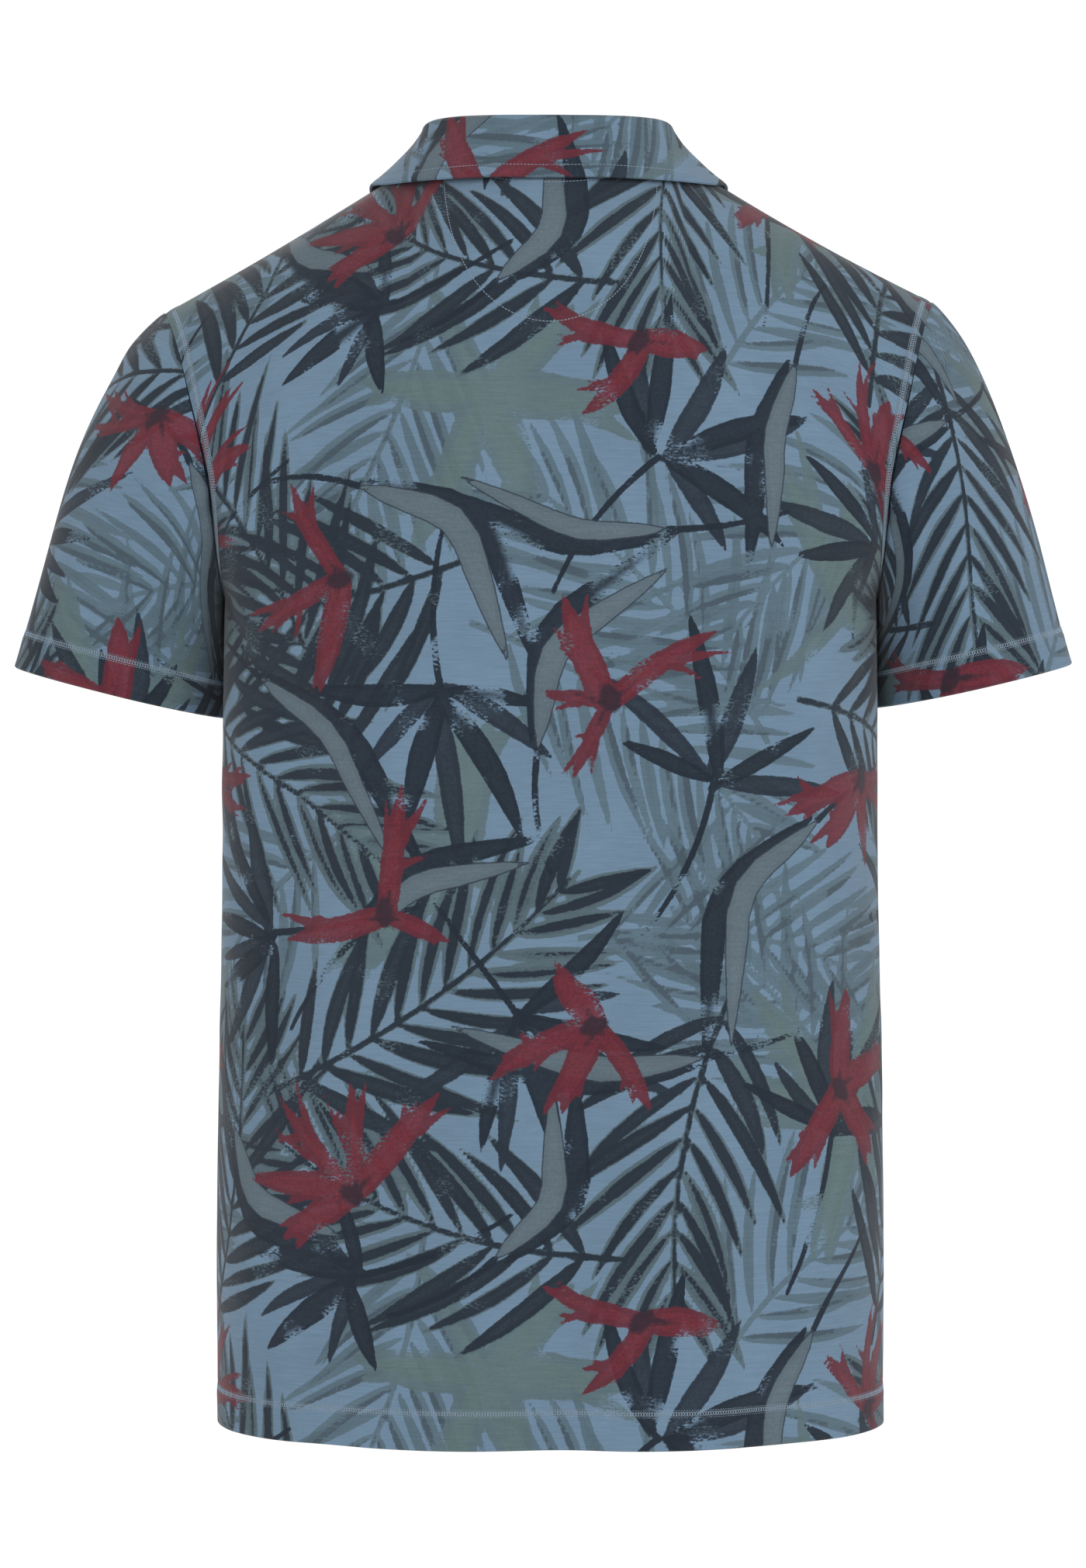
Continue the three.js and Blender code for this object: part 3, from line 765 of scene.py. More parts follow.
@dataclass
class LeafPrint:
    """A repeating print of palm fronds, fans, folded leaves and spiky flowers on flat cloth.

    Motifs are spread by low-discrepancy sequences and varied by a seeded generator. Each channel
    holds, at a point, how far inside the nearest stroke it lies, in millimetres.
    """

    width: float = 440.0
    height: float = 540.0
    seed: int = 179
    outside: float = -5.0
    channels: dict[str, list[Stroke]] = field(default_factory=dict)

    def __post_init__(self) -> None:
        """Draws every motif."""
        self.rng = np.random.default_rng(self.seed)
        names = "pale_a pale_b streak sage mid dark_a dark_b shade leaf petal core"
        self.channels = {name: [] for name in names.split()}
        behind = ((self.pale_frond, 8), (self.ghost_flower, 4))
        before = ((self.dark_frond, 7), (self.fan, 8), (self.folded_leaf, 10), (self.red_flower, 9))
        for maker, count in behind + before:
            self.scatter(maker, count)

    def paint(self, channel: str, *shape: object, **options: object) -> Stroke:
        """Draws a stroke, shaped as swept_stroke shapes it, into a channel and hands it back."""
        self.channels[channel].append(swept_stroke(*shape, **options))
        return self.channels[channel][-1]

    def scatter(self, maker: Callable, count: int) -> None:
        """Spreads motifs of one kind evenly but irregularly over the repeat.

        Args:
            maker: draws one motif at a place.
            count: how many there are.
        """
        phase = self.rng.uniform(0, 1, 2)
        step = round(0.382 * count) / count
        for i in range(count):
            share = np.array([phase[0] + i * step, phase[1] + i / count]) % 1
            jitter = self.rng.uniform(-18, 18, 2)
            maker(share * (self.width, self.height) + jitter, i)

    def pale_frond(self, base: Array, index: int) -> None:
        """A light frond in the background, with a darker streak along two leaflets in three.

        Args:
            base: its foot.
            index: which one it is.
        """
        leaflets = self._frond(base, 1.2 + index * GOLDEN_TURN, (150, 215), (2.8, 4.1), 15.5)
        for k, (stroke, _) in enumerate(leaflets):
            self.channels[("pale_a", "pale_b")[k // 2 % 2]].append(stroke)
            if (k + index) % 3:
                share = 0.3 + 0.3 * (k * 0.382 % 1)
                aside = (k % 2 * 2 - 1) * 0.4 * stroke.half.max()
                self.channels["streak"].append(stroke.narrowed(share, aside, 0.94))

    def dark_frond(self, base: Array, index: int) -> None:
        """A frond in the foreground, its leaflets nearly black at its foot and streaked at its tip.

        Args:
            base: its foot.
            index: which one it is.
        """
        leaflets = self._frond(base, 0.3 + index * GOLDEN_TURN, (190, 250), (4.2, 5.8), 17.5)
        for k, (stroke, up) in enumerate(leaflets):
            self.channels["mid"].append(stroke)
            share = float(np.clip(1.05 - 0.9 * up * self.rng.uniform(0.4, 1.3), 0.28, 1))
            aside = self.rng.uniform(-0.3, 0.3) * stroke.half.max()
            load = stroke.narrowed(share, aside * (1 - share), 0.97)
            self.channels[("dark_a", "dark_b")[k // 2 % 2]].append(load)

    def _frond(
        self, base: Array, heading: float, span: tuple, halves: tuple, spacing: float
    ) -> list[tuple[Stroke, float]]:
        """A palm frond: a bent rib with leaflets on both sides that shorten to its tip.

        Args:
            base: foot of the rib.
            heading: its direction, varied a little.
            span: least and greatest length.
            halves: least and greatest half width of a leaflet.
            spacing: from one pair of leaflets to the next.

        Returns:
            The rib and the leaflets, each with its share of the way up.
        """
        rng = self.rng
        length = rng.uniform(*span)
        heading = heading + rng.uniform(-0.3, 0.3)
        bend = rng.uniform(0.25, 0.7) * rng.choice((-1, 1))
        rib = swept_stroke(base, heading, length, bend, 2.0, Tip.STALK)
        result = [(rib, 0.2)]
        pairs = int(length / spacing)
        for k in range(pairs):
            s = 0.1 + 0.9 * k / pairs
            spot = s * (len(rib.line) - 1)
            low = min(int(spot), len(rib.line) - 2)
            at = rib.line[low] + (rib.line[low + 1] - rib.line[low]) * (spot - low)
            reach = 36 + 62 * math.sin(math.pi * min(0.22 + 0.72 * s, 1))
            for side in (-1, 1):
                spread = (1.0 - 0.45 * s) * side * rng.uniform(0.86, 1.1)
                turned = heading + bend * s + spread
                bow = -side * rng.uniform(0.05, 0.45)
                half = rng.uniform(*halves)
                blade = swept_stroke(at, turned, reach * rng.uniform(0.8, 1.12), bow, half)
                result.append((blade, s))
        return result

    def fan(self, base: Array, index: int) -> None:
        """A fan leaf: broad leaflets from one point, with a thin stalk.

        Args:
            base: its foot.
            index: which one it is.
        """
        rng = self.rng
        blades = int(rng.integers(6, 9))
        heading = index * 2.1 + rng.uniform(-0.4, 0.4)
        for k in range(blades):
            turn = (k / (blades - 1) - 0.5) * 2.9 + rng.uniform(-0.12, 0.12)
            reach = rng.uniform(62, 112) * (1 - 0.14 * abs(turn))
            start = base + rng.uniform(-4, 4, 2)
            bend = rng.uniform(-0.5, 0.5)
            ink = ("shade", "dark_b")[k % 2]
            self.paint(ink, start, heading + turn, reach, bend, rng.uniform(4.4, 7.4))
        self.paint("shade", base, heading + math.pi, 95, rng.uniform(-0.6, 0.6), 2.0, Tip.STALK)

    def folded_leaf(self, base: Array, index: int) -> None:
        """A long leaf bent near a third of its length, light above and dark along its lower edge.

        Args:
            base: its foot.
            index: which one it is.
        """
        rng = self.rng
        heading = index * 2.6 + rng.uniform(-0.5, 0.5)
        length = rng.uniform(105, 150)
        side = rng.choice((-1, 1))
        bend = side * rng.uniform(0.4, 1.0)
        self.paint("leaf", base, heading, length, bend, rng.uniform(6.0, 8.6), knee=0.3)
        normal = np.array([-math.sin(heading + bend / 2), math.cos(heading + bend / 2)])
        start = base - normal * side * rng.uniform(4.0, 6.0)
        under = (heading - 0.05 * side, length * 1.15, bend * 1.05, rng.uniform(6.5, 9))
        self.paint("shade", start, *under, knee=0.35)
        self.paint("shade", base, heading + math.pi, 70, -bend * 0.6, 2.0, Tip.STALK)

    def ghost_flower(self, base: Array, index: int) -> None:
        """A flower blocked in with a wide brush and left without detail, on a broad stem.

        Args:
            base: its foot.
            index: which one it is.
        """
        heading = index * 1.9 + 0.5
        self._petals("sage", base, heading, 5, (60, 100), (11.0, 15.0))
        bend = self.rng.uniform(-0.5, 0.5)
        self.paint("sage", base, heading + math.pi, 80, bend, 8.5, Tip.SPIKE)

    def red_flower(self, base: Array, index: int) -> None:
        """A spiky flower: petals that leave a dark eye to one side and split into ragged points.

        Args:
            base: its foot.
            index: which one it is.
        """
        rng = self.rng
        heading = index * GOLDEN_TURN + rng.uniform(-0.4, 0.4)
        arms = int(rng.integers(3, 6))
        headings = self._petals("petal", base, heading, arms, (34, 72), (4.2, 9.8))
        for turned in headings:
            reach = rng.uniform(12, 26)
            self.paint("core", base, turned, reach, 0.1, rng.uniform(2.4, 3.8), Tip.SPIKE)
        back = base - np.array([math.cos(heading), math.sin(heading)]) * 6
        self.paint("core", back, heading + rng.uniform(-0.5, 0.5), 17, 0.3, 6.2)

    def _petals(
        self, channel: str, base: Array, heading: float, arms: int, span: tuple, halves: tuple
    ) -> list[float]:
        """Paints one flower's petals.

        Args:
            channel: which ink.
            base: the flower's eye.
            heading: the middle of its petals.
            arms: how many petals.
            span: least and greatest length of a petal.
            halves: least and greatest half width.

        Returns:
            The petals' directions. Each petal is a broad stroke with two narrower ones that leave it
            part of the way along, and a short barb at its side.
        """
        rng = self.rng
        spread = rng.uniform(2.6, 4.0)
        headings = []
        for k in range(arms):
            turned = heading + spread * (k / (arms - 1) - 0.5) + rng.uniform(-0.28, 0.28)
            reach = rng.uniform(*span)
            bend = rng.uniform(-0.6, 0.6)
            half = rng.uniform(*halves)
            root = base + np.array([math.cos(turned), math.sin(turned)]) * half * 0.5
            petal = self.paint(channel, root, turned, reach, bend, half, Tip.PETAL)
            for side, low in ((-1, 2), (1, 4)):
                out = turned + bend * low / 10 + side * rng.uniform(0.12, 0.42)
                length = reach * rng.uniform(0.4, 0.8)
                self.paint(channel, petal.line[low], out, length, bend, half * 0.6, Tip.SPIKE)
            at = petal.line[int(rng.integers(3, 7))]
            out = turned + rng.choice((-1, 1)) * rng.uniform(0.5, 1.1)
            self.paint(channel, at, out, reach * rng.uniform(0.2, 0.38), 0.3, half * 0.5, Tip.SPIKE)
            headings.append(turned)
        return headings

    def sample(self, u: Array, v: Array, shift: Pair) -> dict[str, Array]:
        """Measures every channel at points of flat cloth.

        Args:
            u: distance across.
            v: distance up.
            shift: place in the repeat at which this piece was cut.

        Returns:
            For each channel, the greatest of half width less distance over the strokes near a point.
        """
        place = np.stack([u.ravel() + shift[0], v.ravel() + shift[1]], axis=-1)
        low, high = place.min(axis=0), place.max(axis=0)
        order = np.argsort(place[:, 1], kind="stable")
        place = place[order]
        result = {}
        for key, strokes in self.channels.items():
            best = np.full(len(place), self.outside)
            for stroke in strokes:
                margin = float(stroke.half.max()) - self.outside
                box_low = stroke.line.min(axis=0) - margin
                box_high = stroke.line.max(axis=0) + margin
                tile = np.array([self.width, self.height])
                first = np.ceil((low - box_high) / tile).astype(int)
                last = np.floor((high - box_low) / tile).astype(int)
                for i in range(first[0], last[0] + 1):
                    for j in range(first[1], last[1] + 1):
                        offset = tile * (i, j)
                        self._lay(best, place, stroke, offset, box_low + offset, box_high + offset)
            unsorted = np.empty_like(best)
            unsorted[order] = best
            result[key] = unsorted.reshape(u.shape)
        return result

    @staticmethod
    def _lay(
        best: Array, place: Array, stroke: Stroke, offset: Array, low: Array, high: Array
    ) -> None:
        """Lays one stroke at one repeat over the points, which are sorted by their height.

        Args:
            best: depth inside a stroke so far, brought up to date.
            place: the points.
            stroke: what is laid.
            offset: of the repeat.
            low: corner of the stroke's reach.
            high: its far corner.
        """
        i0, i1 = np.searchsorted(place[:, 1], (low[1], high[1]))
        band = place[i0:i1]
        near = np.nonzero((band[:, 0] > low[0]) & (band[:, 0] < high[0]))[0]
        if not len(near):
            return
        p = band[near] - offset
        a, b = stroke.line[:-1], stroke.line[1:]
        run = b - a
        square = np.maximum((run**2).sum(axis=1), 1e-6)
        h = np.clip(((p[:, None] - a) * run).sum(axis=-1) / square, 0, 1)
        distance = np.linalg.norm(p[:, None] - a - run * h[..., None], axis=-1)
        half = stroke.half[:-1] + (stroke.half[1:] - stroke.half[:-1]) * h
        inside = (half - distance).max(axis=1)
        best[i0 + near] = np.maximum(best[i0 + near], inside)


# ---- Stitches ----
@dataclass
class Seamline:
    """A line to sew along, as fractional rows and columns of a cloth."""

    cloth: ClothGrid
    rows: Array
    columns: Array

    def spaced(self, step: float) -> tuple[Array, Array, Array]:
        """Points at even steps along the line, the normals there and those between each two.

        Args:
            step: roughly how far apart they are.

        Returns:
            The points, and both sets of normals.
        """
        along = lengths_along(self.cloth.at(self.rows, self.columns)[0])
        at = np.linspace(0, along[-1], max(int(round(along[-1] / step)), 1) + 1)
        rows, columns = np.interp(at, along, self.rows), np.interp(at, along, self.columns)
        points, normals = self.cloth.at(rows, columns)[:2]
        return points, normals, unit(normals[:-1] + normals[1:])


@dataclass
class Stitching:
    """Collects the stitches sewn into one piece and makes them as one joined piece of thread."""

    name: str
    radius: float = 0.2
    stitches: list[Array] = field(default_factory=list)

    def add(self, starts: Array, ends: Array, normals: Array) -> None:
        """Keeps a batch of threads, given by their ends and the cloth's normals there."""
        self.stitches.append(np.stack([starts, ends, normals]).astype(float))

    def lockstitch(self, line: Seamline, pitch: float = 2.0, gap: float = 0.25) -> None:
        """Sews a row of straight stitches a pitch long, with a gap between each two.

        Args:
            line: where to sew.
            pitch: from one stitch to the next.
            gap: between two stitches.
        """
        points, _, between = line.spaced(pitch)
        run = unit(points[1:] - points[:-1]) * gap / 2
        self.add(points[:-1] + run, points[1:] - run, between)

    def cover_stitch(self, line: Seamline, band: float = 3.4, pitch: float = 1.5) -> None:
        """Sews a cover-stitched band: two rows of stitches and threads that cross between them.

        Args:
            line: the middle of the band.
            band: its width.
            pitch: along the line, from one crossing to the next.
        """
        points, normals, between = line.spaced(pitch)
        aside = unit(np.cross(np.gradient(points, axis=0), normals)) * band / 2
        side = (np.arange(len(points)) % 2 * 2 - 1)[:, None]
        for turn in (-1, 1):
            crossing = points + aside * side * turn
            self.add(crossing[:-1], crossing[1:], between)
            row = points + aside * turn * 1.15
            run = (row[1:] - row[:-1]) * 0.1
            self.add(row[:-1] + run, row[1:] - run, between)

    def make(self) -> Object:
        """Makes the thread of the whole piece."""
        return beads(self.name, *np.concatenate(self.stitches, axis=1), self.radius)


# ---- Creases, listed one by one ----
def lay_creases(*rows: tuple[float, ...]) -> tuple[Crease, ...]:
    """Creases from rows of start, end (each from the middle and up from the hem), bow, width, depth."""
    return tuple(Crease(row[0:2], row[2:4], *row[4:]) for row in rows)


BACK_CREASES = lay_creases(
    (-22, -24, -32, 340, -8, 28, 5.6),
    (56, -12, 74, 164, -6, 17, 2.0),
    (146, 434, 162, 190, -7, 21, 4.6),
    (-142, 436, -126, 284, 6, 17, 3.0),
    (-112, -16, -134, 216, 7, 20, 2.0),
    (-196, 320, -182, 120, 4, 13, 1.4),
    (192, 30, 180, 150, 4, 14, -1.4),
    (221, 470, 128, 404, 7, 10, 1.9),
    (226, 500, 156, 470, -4, 7, 1.1),
    (-222, 478, -118, 436, -8, 11, 1.7),
    (-226, 452, -170, 388, 4, 8, 1.3),
    (196, 592, 148, 486, 8, 13, 1.7),
    (-194, 600, -136, 470, -10, 15, 1.9),
    (128, 650, 58, 600, 5, 12, 0.9),
    (-92, 668, -140, 606, 5, 11, 1.0),
    (-60, 500, -84, 372, -6, 24, 1.2),
    (70, 520, 86, 398, 5, 22, -1.1),
)
FRONT_CREASES = lay_creases(
    (42, -20, 22, 316, -8, 26, 3.2),
    (-52, -10, -86, 222, 9, 20, 2.3),
    (-148, 372, -178, 148, 8, 18, 2.8),
    (156, 398, 140, 236, -5, 17, 2.4),
    (112, 14, 124, 212, 8, 26, -2.0),
    (-14, 26, -22, 150, -4, 17, -1.2),
    (-220, 474, -124, 416, -7, 10, 1.9),
    (222, 466, 140, 428, 6, 11, 1.6),
    (224, 500, 166, 478, -3, 7, 1.0),
    (176, 604, 132, 498, -9, 14, 1.6),
    (-178, 588, -142, 476, 7, 13, 1.8),
    (-34, 500, -70, 404, 5, 20, 1.3),
    (52, 512, 82, 376, -7, 21, 1.2),
)
LEFT_SLEEVE_CREASES = lay_creases(
    (118, 176, 96, 24, 6, 13, 2.3),
    (-30, 182, -62, 66, -7, 15, 1.8),
    (66, 150, 40, 30, 5, 17, -1.5),
    (164, 158, 134, 84, -4, 9, 1.5),
    (-120, 170, -96, 40, 6, 13, 2.0),
    (-168, 150, -150, 70, 3, 9, 1.4),
)
RIGHT_SLEEVE_CREASES = lay_creases(
    (-112, 182, -84, 44, -7, 14, 2.2),
    (34, 178, 58, 80, 6, 14, 1.6),
    (-150, 150, -140, 62, 4, 9, 1.6),
    (-52, 132, -30, 26, 5, 18, -1.6),
    (108, 174, 118, 52, -5, 13, 1.9),
    (160, 160, 146, 88, 3, 9, 1.3),
)


# ---- Pieces of the shirt ----
@dataclass
class Wardrobe:
    """What every piece needs: the print it is cut from, and the finish of each of the record's slots."""

    print: LeafPrint
    finishes: dict[str, bpy.types.Material]

    def dress(self, obj: Object, slot: str, *nodes: str) -> None:
        """Gives a piece its finish, its body and the nodes that it stands for.

        Args:
            obj: the piece.
            slot: the record's slot.
            nodes: CAD nodes that it replaces.
        """
        obj.data.materials.append(self.finishes[slot])
        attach(obj, "root")
        if nodes:
            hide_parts(*nodes)
        log.info("%s: %d faces", obj.name, len(obj.data.polygons))

    def cut(
        self, cloth: ClothGrid, node: str, shift: Pair, wall: Array | float,
        lips: Lips = Lips(), keep: Array | None = None, print_up: int = 1,
    ) -> None:
        """Args:
            cloth: its outer face.
            node: the CAD node that it stands for.
            shift: place in the print's repeat at which it was cut.
            wall: its thickness.
            lips: bulge of its edges.
            keep: which of its coarse cells are there.
            print_up: 1 where the print runs up it, -1 where it runs down.
        """
        values = self.print.sample(cloth.u, print_up * cloth.v, shift)
        obj = cloth.shell(f"{node}_cloth", wall, lips, keep, values)
        self.dress(obj, "printed_jersey", node)


@dataclass
class BodyPanel:
    """The back or the front, from the hem to the neckline, with its stitches."""

    panel: Panel
    name: str
    flat: Pair
    shift: Pair
    creases: tuple[Crease, ...]
    half_cells: int = 112
    low_cells: int = 208
    high_cells: int = 118
    slit: float = 0.031  # share of the half width left open above the underarm, on the front
    # Swells of the cloth: height, size and what is added to the seed.
    swells: tuple = ((0.8, 150, 0), (0.3, 45, 40))
    seam_inset: float = 5.2  # from the armhole to the middle of its stitches
    neck_inset: float = 5.0  # from the neckline to its stitches

    def __post_init__(self) -> None:
        """Lays out the grid, evenly along the body's section and up the middle of the cloth."""
        dense = np.linspace(0, 1, 400)
        one = np.ones_like(dense)
        half = even_steps(FORM.body(self.panel, one, dense, -400 * one), self.half_cells)
        self.columns = np.concatenate([-half[:0:-1], half])
        rise = FORM.panel(self.panel, np.full(400, 0.45), 1 + dense)
        low = np.linspace(0, 1, self.low_cells + 1)
        self.rows = np.concatenate([low[:-1], 1 + even_steps(rise, self.high_cells)])
        points = FORM.panel(self.panel, self.columns[None], self.rows[:, None])
        self.cloth = ClothGrid(points, facing=-self.panel.value)
        self._shape()

    def _shape(self) -> None:
        """Adds the hem, the seams, the swell of the cloth and the creases to the plain form."""
        cloth = self.cloth
        above = (self.rows > 1)[:, None]
        seed = 3 if self.panel is Panel.BACK else 5
        side = np.minimum(cloth.to_left, cloth.to_right)
        tip = fade(1.7, 1.95, self.rows)[:, None]
        shoulder = np.abs(self.columns)[None] > FORM.neck_share
        calm = fade(0, 30, side) * fade(0, 30, cloth.to_top)
        heights = [
            hem_relief(cloth.v, cloth.u, seed),
            seam_roll(side, np.where(above, 0.75 - 0.5 * tip, 0.55)),
            seam_roll(cloth.to_top, np.where(shoulder, 0.7, 0.3)),
            0.35 * fade(1.5, 3.5, side) * (1 - fade(7.0, 9.5, side)) * above,
        ]
        for high, size, more in self.swells:
            heights.append(high * calm * waves(cloth.u, cloth.v, size, seed + more))
        cloth.raise_by(sum(heights + [crease.height(cloth.u, cloth.v) for crease in self.creases]))

    def _moon_arc(self, half: float = 70.0, drop: float = 90.0) -> Seamline:
        """The stitched arc that holds the half-moon: a superellipse in the cloth's own distances.

        Args:
            half: half its width.
            drop: from the neckline down to its lowest point.

        Returns:
            The line to sew.
        """
        angle = np.linspace(0.06, math.pi - 0.06, 90)
        u = -half * np.sign(np.cos(angle)) * np.abs(np.cos(angle)) ** 0.8
        every = np.arange(len(self.columns))
        rows = self.cloth.rows_down(drop * np.sin(angle) ** 0.8, [len(every) // 2])[0]
        columns = [np.interp(x, self.cloth.u[int(r)], every) for x, r in zip(u, rows)]
        return Seamline(self.cloth, rows, np.array(columns))

    def sew(self) -> Stitching:
        """Sews the hem, both armholes and, on the back, the half-moon's arc and the neck seam.

        Returns:
            The panel's stitches.
        """
        cloth = self.cloth
        thread = Stitching(f"stitches_{self.name}", radius=0.22)
        every = np.arange(len(self.columns))
        thread.cover_stitch(Seamline(cloth, cloth.rows_up(HEM_DEPTH, every[::4]), every[::4]))
        first = int(np.interp(1.02, self.rows, np.arange(len(self.rows))))
        rows = np.arange(first, len(self.rows) - 2, 2)
        for columns in cloth.columns_in(self.seam_inset, rows):
            thread.cover_stitch(Seamline(cloth, rows, columns))
        if self.panel is Panel.BACK:
            thread.lockstitch(self._moon_arc())
            near = np.nonzero(np.abs(self.columns) < FORM.neck_share * 0.94)[0]
            thread.lockstitch(Seamline(cloth, cloth.rows_down(self.neck_inset, near), near))
        return thread

    def make(self, wardrobe: Wardrobe) -> None:
        """Makes the panel, the front with its slit left open, and its thread.

        Args:
            wardrobe: its print and finishes.
        """
        middles = (self.columns[:-2:2] + self.columns[2::2]) / 2
        slit = (self.rows[:-2:2] >= 1)[:, None] & (np.abs(middles) < self.slit)[None]
        keep = ~slit if self.panel is Panel.FRONT else None
        wall, lips = hem_wall(self.cloth), Lips(bottom=0.7)
        wardrobe.cut(self.cloth, self.name, self.shift, wall, lips, keep)
        wardrobe.dress(self.sew().make(), "thread")


@dataclass
class Sleeve:
    """One set-in sleeve, from its armhole to its open hem."""

    hang: Hang
    flat: Pair
    shift: Pair
    creases: tuple[Crease, ...]
    half_depth: float = 52.0
    hem_y: float = -3.0
    leave: float = 0.15
    clear: float = 0.3
    lean: float = 24.0  # how far forward the hem's innermost point lies
    around: int = 208
    along: int = 112
    # Directions behind and in front at the armhole, over the shoulder at the hem, and under the arm.
    start_beside: tuple = (0.62, 0.22, -0.75)
    end_over: tuple = (0.316, 0, -0.949)
    under: tuple = (0.06, 0, -1)
    swell: float = 0.7
    swell_size: float = 110.0

    def __post_init__(self) -> None:
        """Lays cubics from the armhole to the hem, once round from the underarm by the back."""
        sign, hang = self.hang.sign, self.hang
        self.angle = angle = np.linspace(-math.pi, math.pi, self.around + 1)
        share = 1 - np.abs(angle) / math.pi
        side = np.full_like(share, sign)
        back, front = FORM.armhole(Panel.BACK, side, share), FORM.armhole(Panel.FRONT, side, share)
        over, inner = np.maximum(np.cos(angle), 0), np.maximum(-np.cos(angle), 0)
        leave = self._directions(hang.over, self.start_beside)
        beside = (np.array(self.end_over) + np.array(self.under)) / 2
        arrive = self._directions(self.end_over, beside)
        start = np.where((angle > 0)[:, None], back, front) + leave * self.leave
        start[:, 0] += sign * self.clear * (1 - over)
        x = sign * (hang.hem[0] + hang.reach * np.cos(angle))
        y = self.hem_y + self.half_depth * np.sin(angle) - self.lean * inner**2
        hem = np.stack([x, y, hang.hem[1] + hang.rise * np.cos(angle)], axis=-1)
        chord = np.linalg.norm(hem - start, axis=-1, keepdims=True)
        s = np.linspace(1, 0, self.along + 1)[:, None] + np.zeros(self.around + 1)
        pull = 0.8 + (hang.fullness - 0.8) * over[:, None]
        points = hermite(start, leave * chord * pull, hem, arrive * chord * 0.7, s)
        self.cloth = ClothGrid(points, facing=sign, tube=True)
        self._shape()

    def _directions(self, over: Sequence, beside: Sequence) -> Array:
        """Directions round the sleeve, mixed by the squares of the way round's cosine and sine.

        Args:
            over: direction over the shoulder.
            beside: direction behind and in front.

        Returns:
            Unit directions, one for each angle.
        """
        cosine, sine = np.cos(self.angle)[:, None], np.sin(self.angle)
        mix = np.array(over) * np.maximum(cosine, 0) ** 2 + np.array(beside) * sine[:, None] ** 2
        mix = mix + np.array(self.under) * np.maximum(-cosine, 0) ** 2
        return unit(mix * np.stack([np.full_like(sine, self.hang.sign), np.sign(sine), 1 + 0 * sine], 1))

    def _shape(self) -> None:
        """Adds the hem, the armhole's roll and the swell of the cloth, the same at both side edges."""
        cloth, seed = self.cloth, 17 + self.hang.sign
        turn = self.angle[None] + 0 * cloth.u
        over = np.maximum(np.cos(turn), 0) ** 2
        ring = 60 * np.cos(turn), 60 * np.sin(turn)
        swell = waves(ring[0] + 0.4 * cloth.v, ring[1] + cloth.v, self.swell_size, seed)
        heights = [
            hem_relief(cloth.v, turn * 54, seed),
            seam_roll(cloth.to_top, 0.75 - 0.5 * over),
            self.hang.crown * over * bell(cloth.to_top - 27, 15),
            self.swell * fade(0, 25, cloth.to_top) * swell,
        ]
        height = sum(heights + [crease.height(cloth.u, cloth.v) for crease in self.creases])
        height[:, -1] = height[:, 0]
        cloth.raise_by(height)

    def make(self, wardrobe: Wardrobe) -> None:
        """Makes the sleeve and its hem's thread.

        Args:
            wardrobe: its print and finishes.
        """
        cloth, name = self.cloth, f"sleeve_{self.hang.name}"
        wardrobe.cut(cloth, name, self.shift, hem_wall(cloth), Lips(bottom=0.7))
        columns = np.arange(0, self.around + 1, 2)
        thread = Stitching(f"stitches_{name}", radius=0.22)
        thread.cover_stitch(Seamline(cloth, cloth.rows_up(HEM_DEPTH, columns), columns))
        wardrobe.dress(thread.make(), "thread")


